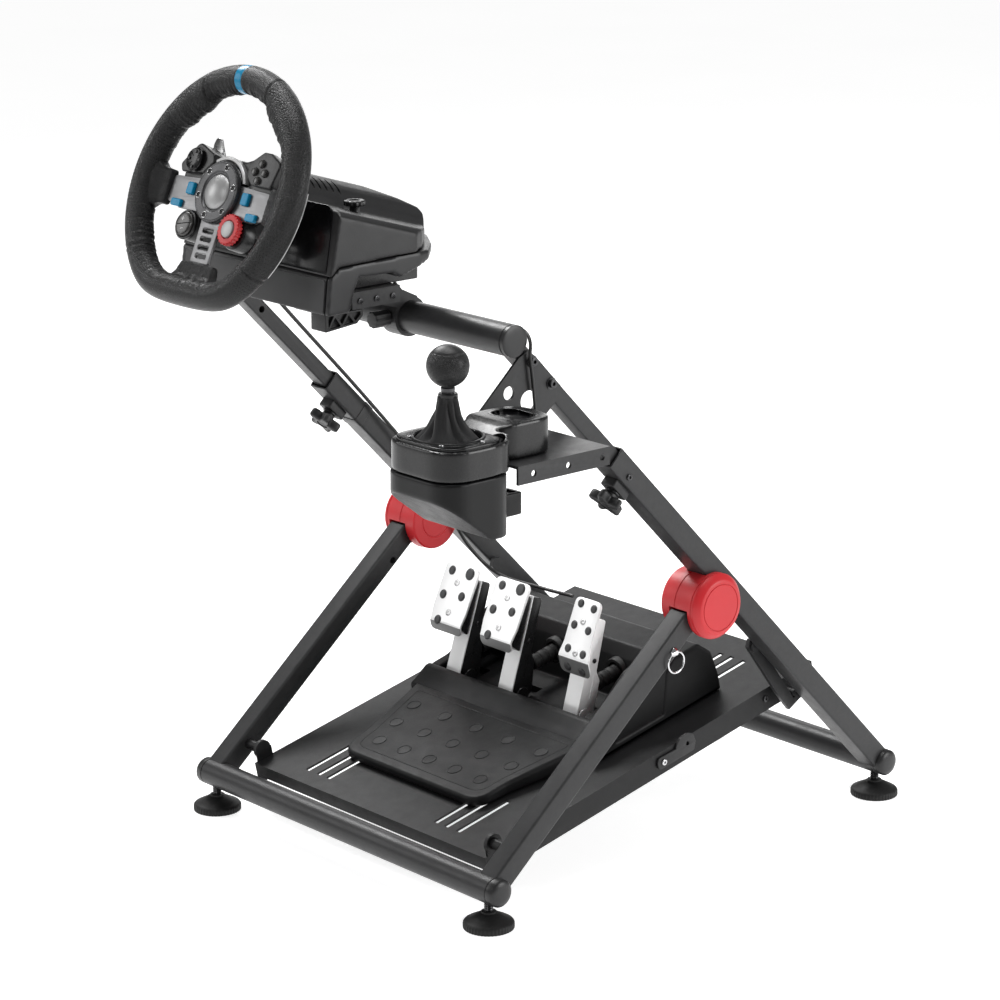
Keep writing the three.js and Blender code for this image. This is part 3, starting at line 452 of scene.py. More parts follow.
def combined(*meshes):
    b = bmesh.new()
    for mesh in meshes:
        b.from_mesh(mesh)
    out = bpy.data.meshes.new("m")
    b.to_mesh(out)
    b.free()
    return out


def placed(mesh, matrix):
    mesh = mesh.copy()
    mesh.transform(matrix)
    return mesh


def post(radius, z0, z1, sides):
    """An upright cylinder."""
    return lathe([(0, z0), (radius, z0), (radius, z1), (0, z1)], sides)


def prism_x(profile, x0, x1, bevel=0.05, steps=2):
    """An outline in the (y, z) plane, carried from x0 to x1."""
    return placed(slab([profile], x0, x1, bevel, steps), ALONG_X)


def carved(mesh, cutters, operation="DIFFERENCE"):
    """The mesh with each cutter taken away, or joined or intersected by operation."""
    def modify(obj):
        made = []
        for cutter in cutters:
            other = bpy.data.objects.new("cut", cutter)
            scene.collection.objects.link(other)
            modifier = obj.modifiers.new("b", "BOOLEAN")
            modifier.operation = operation
            modifier.solver = "EXACT"
            modifier.object = other
            made.append(other)
        return made
    return cleaned(evaluated(mesh, modify), outward=False)


def softened(mesh, voxel=1.6, rounds=5):
    """Rounds every edge of a closed mesh by remeshing and smoothing it."""
    def modify(obj):
        remesh = obj.modifiers.new("r", "REMESH")
        remesh.mode = "VOXEL"
        remesh.voxel_size = voxel
        smooth = obj.modifiers.new("s", "SMOOTH")
        smooth.factor = 0.5
        smooth.iterations = rounds
    return evaluated(mesh, modify)


def thickened(obj):
    obj.modifiers.new("s", "SOLIDIFY").thickness = 1.1


def piece(name, mesh, matrix, body, material, stands_for=(), sharp=32, slot=None):
    """A named piece that rides on a body and may stand in for CAD nodes; material may be a list."""
    mesh = mesh.copy()
    mesh.transform(matrix)
    if matrix.determinant() < 0:
        mesh.flip_normals()
    indices = [p.material_index for p in mesh.polygons]
    mesh.materials.clear()
    for m in material if isinstance(material, (list, tuple)) else [material]:
        mesh.materials.append(m)
    mesh.polygons.foreach_set("material_index", indices)
    mesh.shade_smooth()
    mesh.set_sharp_from_angle(angle=math.radians(sharp))
    mesh.name = name
    obj = bpy.data.objects.new(name, mesh)
    scene.collection.objects.link(obj)
    if body:
        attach(obj, body)
    if stands_for:
        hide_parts(*([stands_for] if isinstance(stands_for, str) else stands_for))
    return obj


def on_wheel(name, mesh, material, *more, **options):
    return piece(name, mesh, WHEEL, "steering", material, *more, **options)


def on_slider(name, mesh, material, *more, **options):
    return piece(name, mesh, RIG, "slider", material, *more, **options)


def on_base(name, mesh, material, *more, **options):
    return piece(name, mesh, RIG, "wheel_mount", material, *more, **options)


def dress(name, material, bevel):
    """A CAD node that keeps its shape: a material, and finely rounded edges."""
    obj = nodes[name]
    obj.data.materials.clear()
    obj.data.materials.append(material)
    obj.data.shade_smooth()
    obj.data.set_sharp_from_angle(angle=math.radians(32))
    modifier = obj.modifiers.new("edge", "BEVEL")
    modifier.width = bevel / 1000
    modifier.segments = 2
    modifier.limit_method = "ANGLE"
    modifier.angle_limit = math.radians(40)
    modifier.harden_normals = True


MIRROR = Matrix.Scale(-1, 4, (1, 0, 0))
SIDES = (("left", MIRROR), ("right", Matrix.Identity(4)))


# ---- cables: each cable is swept along its points and cut into stretches -----------------------
SHIFTER_CABLE = [(40, 30, 687), (44, 36, 672), (60, 45, 652), (100, 46, 646), (200, 46, 646),
    (244, 46, 645), (257, 42, 636), (258, 41, 622), (258, 44, 600), (258, 47, 575), (262, 46, 556),
    (284, 32, 552), (306, 14, 556), (310, 4, 560)]
PEDAL_CABLE = [(-40, 30, 687), (-44, 36, 672), (-60, 45, 652), (-100, 46, 646), (-190, 46, 646),
    (-212, 52, 636), (-217, 90, 596), (-217, 200, 480), (-213, 262, 410), (-206, 300, 362),
    (-204, 335, 300), (-200, 357, 262), (-180, 385, 226), (-120, 405, 216), (-70, 410, 216)]


def stretch(name, points, radius, start, end, stands_for=()):
    """The part of a cable between two fractions of its length."""
    line = spline_through(points, 260)[int(start * 260):int(end * 260) + 1]
    obj = piece(name, sweep(line, radius, 12), RIG, None, CORD, sharp=60)
    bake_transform(obj)
    if stands_for:
        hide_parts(stands_for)


def cables():
    stretch("shifter_cable_run", SHIFTER_CABLE, 1.8, 0, 1,
        "shifter_cable")
    stretch("pedal_cable_top", PEDAL_CABLE, 2.2, 0, 0.3,
        "pedal_cable")
    stretch("pedal_cable_side", PEDAL_CABLE, 2.2, 0.3, 0.62)
    stretch("pedal_cable_drop", PEDAL_CABLE, 2.2, 0.62, 0.78)
    stretch("pedal_cable_end", PEDAL_CABLE, 2.2, 0.78, 1)


# ---- hardware ----------------------------------------------------------------------------------
def hex_recess(radius):
    return [(radius * math.cos(math.radians(60 * i)), radius * math.sin(math.radians(60 * i)))
        for i in range(6)]


def socket_screw(radius, height):
    """A domed cap screw with a hexagonal recess, its head standing on z = 0."""
    body = slab([ring(radius, steps=28)], -0.4, height, min(0.8, height / 3))
    return carved(body, [slab([hex_recess(radius * 0.5)], height * 0.35, height + 2, 0.05)])


def cross_screw(radius, height):
    body = slab([ring(radius, steps=28)], -0.4, height, min(0.6, height / 3))
    w, l = radius * 0.13, radius * 0.55
    cross = [(-l, -w), (-w, -w), (-w, -l), (w, -l), (w, -w), (l, -w), (l, w), (w, w), (w, l), (-w, l),
        (-w, w), (-l, w)]
    return carved(body, [slab([cross], height * 0.4, height + 2, 0.03)])


# ---- floor bars, feet and tubes ----------------------------------------------------------------
def bar_mesh(length, radius, dome, seam=7):
    """A round tube with a domed plug in each end, seam millimetres deep."""
    end = length / 2
    half = [(0, end), (radius * 0.5, end - dome * 0.06), (radius * 0.8, end - dome * 0.3),
        (radius * 0.95, end - dome * 0.7), (radius - 0.05, end - dome)]
    half += [(radius - 0.05, end - dome - seam), (radius - 0.7, end - dome - seam - 0.3),
        (radius - 0.7, end - dome - seam - 1)]
    half += [(radius - 0.4, end - dome - seam - 1.2), (radius, end - dome - seam - 1.8)]
    profile = [(r, h, 0 if i > 7 else 1) for i, (r, h) in enumerate(half)]
    back = [(r, -h, 0 if i > 8 else 1) for i, (r, h) in enumerate(half)][::-1]
    return lathe(profile + back, 72)


def bars():
    for name, y, body in (("front_floor_bar", 0, "front_frame"), ("rear_floor_bar", WHEELBASE,
            "rear_frame")):
        piece(name + "_tube", bar_mesh(525, 15.5, 4.5), RIG @ at(0, y, BAR_HEIGHT) @ ACROSS, body,
            [COAT, CAP], name, slot="powder_coat")
    piece("crossbar_tube", bar_mesh(514, 17, 1.2, 4), RIG @ at(0, *AXLE) @ ACROSS, "slider", [COAT, CAP],
        "crossbar", slot="powder_coat")


def feet():
    profile = [(0, 0, 0), (25.6, 0, 0), (27.6, 0.8, 0), (27.6, 6.6, 0), (26.6, 8.2, 0), (25, 9.2, 0),
        (21, 10.8, 0), (20, 11.8, 0), (15, 14.2, 0), (11.5, 16.4, 0), (8.2, 17.2, 0), (8.2, 19.2, 0),
        (5.2, 19.6, 1)]
    for i in range(7):
        profile += [(5.2 if i % 2 else 4.5, 20 + i * 1.2, 1)]
    profile += [(5, 28.1, 1), (0, 28.1, 1)]

    def ribs(a, i):
        return 1 + 0.012 * math.cos(a * 44) if 2 <= i <= 3 else 1
    mesh = lathe(profile, 176, ribs)
    for row, y in (("front", 0), ("rear", WHEELBASE)):
        for word, side in SIDES:
            piece(f"foot_{row}_{word}_pad", mesh, RIG @ side @ at(TUBE_X, y, 0), f"foot_{row}_{word}",
                [RUBBER, DARK_STEEL], f"foot_{row}_{word}", slot="rubber")


def box_tube(x0, x1, s0, s1, d0, d1, radius=3.2, mouth=0.0, wall=1.6):
    """A rounded square tube along +Y; mouth is how deep its open upper end is seen to be."""
    def loop(inset, s):
        r = max(0.6, radius - inset)
        outline = rectangle(x0 + inset, x1 - inset, d0 + inset, d1 - inset, r, 5)
        return [(x, s, d) for x, d in outline]
    rows = [loop(0.7, s0), loop(0, s0 + 0.7), loop(0, s1 - 0.5), loop(0.5, s1)]
    if mouth:
        rows += [loop(wall, s1), loop(wall + 0.1, s1 - mouth)]
    verts = [v for row in rows for v in row]
    n = len(rows[0])
    faces = grid_faces(len(rows), n) + [tuple(range(n)), tuple((len(rows) - 1) * n + k for k in range(n))]
    return cleaned(from_faces(verts, faces))


def tubes():
    for word, side in SIDES:
        leg = box_tube(226.5, 252.5, 4, 376.2, -13, 13)
        barrel = lathe([(0, -13), (16.9, -13), (17.7, -12.2), (17.7, 12.2), (16.9, 13), (0, 13)], 64)
        barrel = placed(barrel, at(TUBE_X, 405.6, -8.2) @ ACROSS)
        tongue = slab([rectangle(374, 407, -13, 2.8, 1.2)], 226.5, 252.5, 0.6)
        parts = [leg, barrel, placed(tongue, ALONG_X)]
        hole = placed(post(4.4, -20, 20, 32), at(TUBE_X, *PIN_HOLE) @ ACROSS)
        parts[0] = carved(leg, [hole])
        piece(f"front_leg_{word}_tube", combined(*parts), LEG @ side, "front_frame", COAT,
            f"front_leg_{word}", slot="powder_coat")
        outer = [box_tube(224.5, 254.5, 4, 630, -13, 13, mouth=26)]
        outer.append(block(229.5, 249.5, 580, 608, 12.4, 23, 3, 1))
        if word == "left":
            outer.append(placed(slab([rectangle(-13.8, 13.8, 223.7, 255.3, 3.6),
                rectangle(-12.9, 12.9, 224.6, 254.4, 3)], 556, 569, 0.4), ALONG_TUBE))
        piece(f"outer_upright_{word}_tube", combined(*outer), UPRIGHT @ side, "rear_frame", COAT,
            f"outer_upright_{word}", slot="powder_coat")
        inner = box_tube(228.75, 250.25, 505, 826, -9, 9, 2.4)
        if word == "left":
            inner = carved(inner, [placed(post(4, -8, 8, 32), at(228.75, 768, 0) @ ACROSS)])
        piece(f"inner_upright_{word}_tube", inner, UPRIGHT @ side, "slider", COAT, f"inner_upright_{word}",
            slot="powder_coat")
        screw = socket_screw(3.6, 2.4)
        piece(f"upright_screw_{word}", screw, UPRIGHT @ side @ at(254.2, 600, 4) @ ACROSS, "rear_frame",
            DARK_STEEL)


# ---- pivot hubs --------------------------------------------------------------------------------
def wedge(radius, start, end):
    """A slice of a circle between two angles in degrees."""
    points = [(0, 0)]
    for i in range(41):
        a = math.radians(start + (end - start) * i / 40)
        points.append((radius * math.cos(a), radius * math.sin(a)))
    return points


def hubs():
    profile = [(0, 211), (20, 211), (20.6, 211.5), (21.4, 211.5), (22, 211), (33.6, 211), (35.5, 212.2),
        (35.5, 214)]
    for x in (234, 258.6):
        profile += [(37.3, x - 0.9), (36.6, x - 0.4), (36.6, x + 0.4), (37.3, x + 0.9)]
    profile += [(37.3, 261.6), (36.9, 262.6), (31.6, 268.4), (30.6, 269), (27, 269.3), (26.6, 268.6),
        (26, 268.6), (25.6, 269.3), (0, 269.5)]
    blank = lathe(profile, 128)
    whole = placed(blank, at(0, *HUB_CENTRE) @ ACROSS)
    place = at(0, *HUB_CENTRE) @ ALONG_X
    cutters = [placed(slab([wedge(60, 46, 192)], 225.2, 253.8, 0.05), place),
        placed(post(18.3, 225.2, 253.8, 64), at(0, *HUB_CENTRE) @ ACROSS),
        placed(slab([[(-80, -44.5), (80, -44.5), (80, -17.9), (-80, -17.9)]], 224.2, 254.8, 0.05), place)]
    cut = carved(whole, cutters)
    pin = placed(post(8, 216, 262, 40), at(0, *HUB_CENTRE) @ ACROSS)
    for word, side in SIDES:
        piece(f"hub_{word}_casing", cut, UPRIGHT @ side, "rear_frame", RED, f"hub_{word}", slot="hub_red")
        piece(f"hub_{word}_pin", pin, UPRIGHT @ side, "rear_frame", DARK_STEEL)


# ---- knobs and pins ----------------------------------------------------------------------------
def star(count, radius, lobe, steps=90):
    """A wavy circle, for the lobes or teeth of a knob."""
    return [((radius + lobe * math.cos(count * a)) * math.cos(a),
        (radius + lobe * math.cos(count * a)) * math.sin(a)) for a in (i * TAU / steps
        for i in range(steps))]


def threaded(radius, z0, z1, pitch=1.25):
    profile = [(0, z0)]
    z = z0
    while z < z1:
        profile += [(radius, z), (radius - 0.45, z + pitch / 2)]
        z += pitch
    return lathe(profile + [(radius, z1), (0, z1)], 28)


def knobs():
    grip = slab([star(5, 15.6, 4.6)], 29.9, 41, 2.8, 3)
    grip = carved(grip, [lathe([(0, 39.4), (6.4, 39.4), (7.2, 42), (0, 42)], 40)])
    neck = lathe([(0, 24.4), (6.2, 24.4), (7, 25.2), (8, 30), (0, 30.5)], 40)
    washer = lathe([(0, 23.4), (8.6, 23.4), (9, 23.8), (9, 24.6), (8.6, 25), (0, 25)], 40)
    badge = lathe([(0, 39.2), (6, 39.2), (6, 39.8), (5.4, 40.2), (0, 40.4)], 40)
    for word, side in SIDES:
        place = UPRIGHT @ side @ at(TUBE_X, *KNOB_DEPTH)
        piece(f"lock_knob_{word}_grip", combined(grip, neck, badge), place, f"lock_knob_{word}", TEXTURED,
            f"lock_knob_{word}", slot="black_plastic")
        piece(f"lock_knob_{word}_stud", combined(threaded(4, 9.6, 24), washer), place, f"lock_knob_{word}",
            DARK_STEEL)
    place = RIG @ at(80, 0, AXLE[1]) @ Matrix.Rotation(math.pi / 2, 4, "X")
    piece("deck_knob_grip", combined(slab([star(9, 8.6, 0.4)], 0.6, 21.6, 1.2), threaded(3.5, -4.2, 1)),
        place, "deck_knob", TEXTURED, "deck_knob", slot="black_plastic")


def pin():
    shank = lathe([(0, 221), (3, 221), (4, 222.5), (4, 253), (5.2, 253), (5.3, 253.6), (4.6, 254.8),
        (2.6, 257), (0, 257.5)], 40)
    lx, la = PIN_HOLE
    c, s = math.cos(math.radians(LEG_ANGLE)), math.sin(math.radians(LEG_ANGLE))
    loop = [(256, lx - 11 * s + 12 * math.cos(a), la - 11 * c + 12 * math.sin(a))
        for a in (i * TAU / 72 for i in range(72))]
    body = [placed(shank, at(0, lx, la) @ ACROSS), sweep(loop, 1.1, 12, closed=True)]
    piece("locking_pin_steel", combined(*body), LEG, "locking_pin", CHROME, "locking_pin",
        slot="bright_steel")


# ---- sheet steel that keeps its shape, and its bolts -------------------------------------------
def sheet_steel():
    for name, bevel in (("shifter_bracket", 0.45), ("wheel_deck", 0.5), ("plate_hanger_left", 0.6),
            ("plate_hanger_right", 0.6), ("pedal_plate", 0.5)):
        dress(name, FLOOR_COAT if name == "pedal_plate" else COAT, bevel)
    dress("steering_shaft", DARK_STEEL, 0.5)
    dress("shift_gimbal", SATIN, 0.4)
    for i, (y, z) in enumerate(((47.6, 614.9), (74.3, 587.6))):
        piece(f"bracket_bolt_{i + 1}", socket_screw(4.6, 4.6), RIG @ at(253.8, y, z) @ ACROSS, "slider",
            DARK_STEEL)
        piece(f"bracket_washer_{i + 1}", lathe([(0, -0.2), (6.6, -0.2), (6.6, 0.7), (6.2, 1), (0, 1)], 32),
            RIG @ at(253.7, y, z) @ ACROSS, "slider", DARK_STEEL)
    on_base("deck_screw", combined(*[placed(cross_screw(3.4, 1.6), at(108.1, y, 670) @ ACROSS)
        for y in (-60, -38, -16)]), DARK_STEEL)
    link = [(261, -19, 6), (318, -19, 3), (322, -10, 3), (320, 1, 4), (311, 6, 5), (299, 4, 3),
        (292, -3, 1), (291, -6, 1), (261, -5, 6)]
    link = slab([fillet(link, 2), ring(2.4, 309.6, -7, 24)], 202.8, 205.4, 0.4)
    piece("plate_link", link, PLATE @ ALONG_X, "pedal_plate", COAT)
    for i, v in enumerate((270, 60, 440)):
        for word, side in SIDES:
            head = 205.2 if (i, word) == (0, "right") else 202.4
            piece(f"plate_bolt_{word}_{i + 1}", socket_screw(3.6, 2.2),
                PLATE @ side @ at(head, v, -12) @ ACROSS, "pedal_plate", CHROME if i == 0 else DARK_STEEL)


# ---- wheel base --------------------------------------------------------------------------------
def rear_outline(grow=0):
    return [(-BASE_HALF, -130), (BASE_HALF, -130), (BASE_HALF, 2 + grow), (117 + grow, 17 + grow),
        (87 + grow, 46 + grow), (54, 73 + grow), (0, 86 + grow), (-54, 73 + grow), (-87 - grow, 46 + grow),
        (-117 - grow, 17 + grow), (-BASE_HALF, 2 + grow)]


CROWN = [(12, 33), (30, 32.4), (43, 28), (50, 23), (57, 12), (66, 4), (119, 0), (126, -6)]


def crown_level(y):
    """The height that the crown's section stands on, which falls towards the rear."""
    return 0.295 * (y + 94)


def crown_prism():
    section = [(-BASE_HALF, -110), (BASE_HALF, -110)] + CROWN[::-1] + [(-x, h) for x, h in CROWN]
    verts = [(x, y, 770 + h - crown_level(y)) for y in (-130, 130) for x, h in section]
    n = len(section)
    faces = [tuple(range(n)), tuple(range(n, 2 * n))] + [(k, (k + 1) % n, n + (k + 1) % n, n + k)
        for k in range(n)]
    return cleaned(from_faces(verts, faces))


def crown_height(x, y):
    points = [(0, 33), *CROWN]
    for (a, ha), (b, hb) in zip(points, points[1:]):
        if x <= b:
            return 770 + ha + (hb - ha) * (x - a) / (b - a) - crown_level(y)


def base_upper():
    side = [(-112.7, 702.9), (-100, 712.9), (10, 716.4), (96, 716.4), (97, 720), (80, 730), (69, 745),
        (48, 756), (15, 770), (-13, 782), (-57, 795), (-80, 797), (-91, 792), (-97, 776)]
    shell = carved(prism_x(side, -BASE_HALF, BASE_HALF), [slab([rear_outline()], 650, 830, 0.05)],
        "INTERSECT")
    shell = carved(shell, [crown_prism()], "INTERSECT")
    shell = softened(shell, 1.9, 7)
    cutters = []
    for k in range(5):
        y = -74 + 8.5 * k
        for s in (-1, 1):
            cutters.append(placed(block(-9.5, 9.5, -1.15, 1.15, -2.6, 8, 1.1, 0.05),
                at(s * 46.5, y, crown_height(46.5, y)) @ Matrix.Rotation(s * 0.62, 4, "Y")))
    for s in (-1, 1):
        well = lathe([(0, 757.5), (13.6, 757.5), (14.6, 758.4), (15, 762), (15, 800), (0, 800)], 48)
        cutters.append(placed(well, at(s * 80, -43, 0)))
    tunnel = post(13.4, -150, -20, 48)
    local = RIG.inverted() @ WHEEL
    cutters.append(placed(tunnel, local))
    shell = carved(shell, cutters)
    on_base("base_upper_shell", shell, TEXTURED, "base_upper_housing", sharp=40, slot="black_plastic")
    # glossy front panel, set on the sloping front face
    tilt = math.degrees(math.atan2(15.7, 73.1))
    face = at(0, -112.5, 703) @ Matrix.Rotation(math.radians(90 - tilt), 4, "X")
    panel = slab([fillet([(-118, 3, 4), (118, 3, 4), (114, 73, 14), (-114, 73, 14)], 6, 8)], -0.5, 1.1, 0.5)
    panel = carved(panel, [placed(tunnel, face.inverted() @ local)])
    piece("base_front_panel", panel, RIG @ face, "wheel_mount", GLOSS)
    collar = lathe([(14, -46), (30.5, -46), (31.5, -47), (31.5, -70), (14, -70)], 64)
    piece("base_shaft_collar", collar, WHEEL, "wheel_mount", PLASTIC)


def base_lower():
    low = [(-117, 664.3), (-88, 664.3), (-82, 684), (-75, 699), (-30, 698.5), (-20, 692), (22, 705),
        (102, 705), (102, 714.8), (97, 715.6), (10, 715.6), (-100, 712), (-113, 702.2)]
    shell = carved(prism_x(low, -BASE_HALF, BASE_HALF), [slab([rear_outline(5)], 650, 730, 0.05)],
        "INTERSECT")
    shell = softened(shell, 1.9, 6)
    groove = block(119, 121.4, -125, -104, 660, 705, 0.3, 0.05)
    shell = carved(shell, [groove, placed(groove, MIRROR)])
    on_base("base_lower_shell", shell, GREY, "base_lower_housing", sharp=40, slot="grey_plastic")
    on_base("base_foot_pad", block(-96, 96, -80, 30, 680.4, 706, 4, 1.2), PLASTIC)
    strip = slab([rectangle(-118, 118, 1, 36, 3)], -0.2, 0.9, 0.35)
    piece("base_lower_front_panel", strip, RIG @ at(0, -117.0, 664.4) @ Matrix.Rotation(math.radians(84), 4,
        "X"), "wheel_mount", PALE)


def base_clamps():
    grip = slab([star(12, 10.9, 0.6)], 764.4, 770, 1.6)
    grip = carved(grip, [lathe([(0, 769), (5.5, 769), (6.5, 771), (0, 771)], 32)])
    stem = lathe([(0, 757.9), (5.4, 757.9), (5, 762), (6.4, 765), (0, 765)], 32)
    for word, side in SIDES:
        piece(f"base_knob_{word}_grip", placed(combined(grip, stem), at(*BASE_KNOB)), RIG @ side,
            f"base_knob_{word}", PLASTIC, f"base_knob_{word}", slot="black_plastic")
        pad = [(-106, 643), (-64, 647), (-56, 654), (-56, 661.5), (-92, 661.5), (-92, 663.7), (-106, 663.7)]
        clamp = prism_x(fillet(pad, 1.6), 84, 108, 0.9)
        cells = [[(-102, 646.5), (-94.5, 659.5), (-102, 659.5)], [(-100.6, 645.8), (-85.4, 647.2),
            (-93, 657.6)], [(-91.4, 659.5), (-84, 648.8), (-76.6, 659.5)],
            [(-82.4, 647.6), (-67.8, 648.8), (-75, 657.6)], [(-73.4, 659.5), (-66.2, 650.2), (-59.4, 656),
            (-59.4, 659.5)]]
        pockets = [prism_x(fillet(c, 0.8, 3), 104, 110) for c in cells]
        pockets += [prism_x(fillet(c, 0.8, 3), 82, 88) for c in cells]
        piece(f"base_clamp_{word}_jaw", carved(clamp, pockets), RIG @ side, f"clamp_{word}", TEXTURED,
            f"base_clamp_{word}", slot="black_plastic")


def base():
    base_upper()
    base_lower()
    base_clamps()


# ---- steering wheel ----------------------------------------------------------------------------
SEAMS = (65, 117, -38, 219)  # degrees round the wheel
BAND = 91.6
RIM_PATH = 119.9
RIM_FLAT = 108.4  # from the centre to the flat at the bottom
GRIP = 15.2
SQUARENESS = 26  # how sharply the round part turns into the flat


def off_zero(degrees):
    """How far an angle is from zero, either way round."""
    return abs((degrees + 180) % 360 - 180)


def ease(x):
    x = min(1, max(0, x))
    return x * x * (3 - 2 * x)


def rim_point(t, a, extra=0.0):
    """t is the angle round the wheel in degrees, a the angle round the grip: 0 faces out, pi the hub."""
    drop = -math.sin(math.radians(t))
    path = RIM_PATH
    if drop > 0.3:
        path = (RIM_PATH ** -SQUARENESS + (RIM_FLAT / drop) ** -SQUARENESS) ** (-1 / SQUARENESS)
    up = math.degrees(math.atan2(math.sin(math.radians(t)), abs(math.cos(math.radians(t)))))
    swell = ease((64 - up) / 7) * ease((up - 29) / 14)
    inward = max(0, -math.cos(a))
    wide = GRIP * math.cos(a) * (1 + 0.45 * swell * (inward > 0)) + extra * math.cos(a)
    return path + wide, (GRIP + extra) * math.sin(a)


def rim_leather():
    around, turns = 48, 720
    verts, faces, index = [], [], []
    for i in range(turns):
        t = i * 360 / turns
        band = off_zero(t - BAND)
        for k in range(around):
            a = k * TAU / around
            deep = 0.5 * math.exp(-((band - 2.6) / 0.3) ** 2)
            for seam in SEAMS:
                lean = 2.2 * math.cos(a) * (1 if math.cos(math.radians(seam)) > 0 else -1)
                gap = off_zero(t - seam - lean)
                deep += 1.0 * math.exp(-(gap / 0.5) ** 2) - 0.35 * math.exp(-((gap - 1.5) / 0.9) ** 2)
            inner = max(0, -math.cos(a)) ** 1.5
            fold = noise.noise(Vector((t * 0.55, math.cos(a) * 0.7, 3.1))) * 1.6
            fold += noise.noise(Vector((t * 1.3, math.sin(a), 8.0))) * 0.8
            where = 1.0 if 18 < t < 162 or 195 < t < 345 else 0.35
            soft = noise.noise(Vector((t * 0.05, a * 0.8, 1.0))) * 0.18
            r, z = rim_point(t, a, -deep + (fold * 1.1 * inner * where if band > 3.4 else 0) + soft)
            angle = math.radians(t)
            verts.append((r * math.cos(angle), r * math.sin(angle), z))
    for i in range(turns):
        t = (i + 0.5) * 360 / turns
        side = min(off_zero(t - 9), off_zero(t - 171))
        hide = 1 if side < 56 else 0  # perforated at the sides of the rim
        for k in range(around):
            n, j = (k + 1) % around, (i + 1) % turns
            faces.append((i * around + k, j * around + k, j * around + n, i * around + n))
            index.append(2 if abs(t - BAND) < 2.5 else hide)
    mesh = from_faces(verts, faces, index)
    layer = mesh.uv_layers.new(name="UVMap")
    for polygon in mesh.polygons:
        i, k = divmod(polygon.index, around)
        corners = ((i, k), (i + 1, k), (i + 1, k + 1), (i, k + 1))
        for loop, (u, v) in zip(polygon.loop_indices, corners):
            layer.data[loop].uv = (u / turns, v / around)
    return mesh


def creased(mesh, scale, depth):
    for v in mesh.vertices:
        point = Vector([c * k for c, k in zip(v.co, scale)])
        v.co.z += depth * noise.noise(point) * (1 if v.co.z > -4 else -1)


def spoke_wraps():
    """Leather wraps where the spokes meet the ring, with soft creases."""
    wraps = []
    for s in (-1, 1):
        profile = fillet([(82.6, -12.2), (114, -12.4), (114, 9.5), (108, 7.6), (101, 3.6), (92, 0.6),
            (82.6, -0.6, 3)], 4, 5)
        core = placed(slab([profile], -23.5, 14.5, 2.6, 4), SWAP_YZ)
        core.flip_normals()
        core = softened(cleaned(core), 1.3, 5)
        for v in core.vertices:
            spread = max(0, (v.co.x - 90) / 20) ** 2
            off = (v.co.y + 4.5) / 19
            v.co.y = -4.5 + 19 * off * (1 + 0.55 * spread)
            v.co.z -= (2.4 * spread * abs(off) ** 3) if v.co.z > 0 else 0
        creased(core, (0.07, 0.32, 0.1), 0.8)
        wraps.append(core if s > 0 else placed(core, MIRROR))
    wraps[0].flip_normals()
    profile = fillet([(-76, -12), (-76, -3.6, 1.5), (-88, -1.4), (-99, 5), (-108, 8), (-108, -12)], 3, 4)
    foot = carved(prism_x(profile, -36, 36), [slab([[(-25, -70), (25, -70), (37, -112), (-37, -112)]], -20,
        20, 0.05)], "INTERSECT")
    foot = softened(foot, 1.3, 9)
    creased(foot, (0.2, 0.09, 0.1), 0.6)
    on_wheel("rim_spoke_wraps", combined(*wraps, foot), HIDE, sharp=70)


def rim_back_highlight():
    # a thin bright satin strip along part of the rim's back edge: a painted highlight
    rows = []
    for i in range(-17, 5):
        t = math.radians(i * 2)
        rows.append((rim_point(math.degrees(t), math.radians(-46), 0.2), t))
    line = [(r * math.cos(t), r * math.sin(t), z) for (r, z), t in rows]
    on_wheel("rim_back_painted_highlight", sweep(line, 0.8, 8), SATIN)


def spoke_plate():
    arm = [(18, 12, 0), (80, 9.4, 3), (82.5, -18, 3), (60, -24, 6), (26, -24, 8), (16, -30, 6),
        (15, -75.5, 2.5), (-15, -75.5, 2.5), (-16, -30, 6), (-26, -24, 8), (-60, -24, 6), (-82.5, -18, 3),
        (-80, 9.4, 3), (-18, 12, 0)]
    arc = [(33 * math.cos(math.radians(d)), 33 * math.sin(math.radians(d)), 0) for d in range(32, 149, 6)]
    holes = [rectangle(-9, 9, y - 2.6, y + 2.6, 2.5) for y in (-41, -50, -59, -68)]
    plate = slab([fillet(arc[:1] + arc[1:] + arm[::-1], 3, 4)[::-1], *holes], -9, -5, 0.7, 3)
    pockets = [block(x - w - 0.5, x + w + 0.5, y - h - 0.5, y + h + 0.5, -7.4, 0, 1.6, 0.05) for x, y, w,
        h in ACCENTS]
    on_wheel("spoke_plate_metal", carved(plate, pockets), SPOKE, "spoke_plate", slot="brushed_metal")


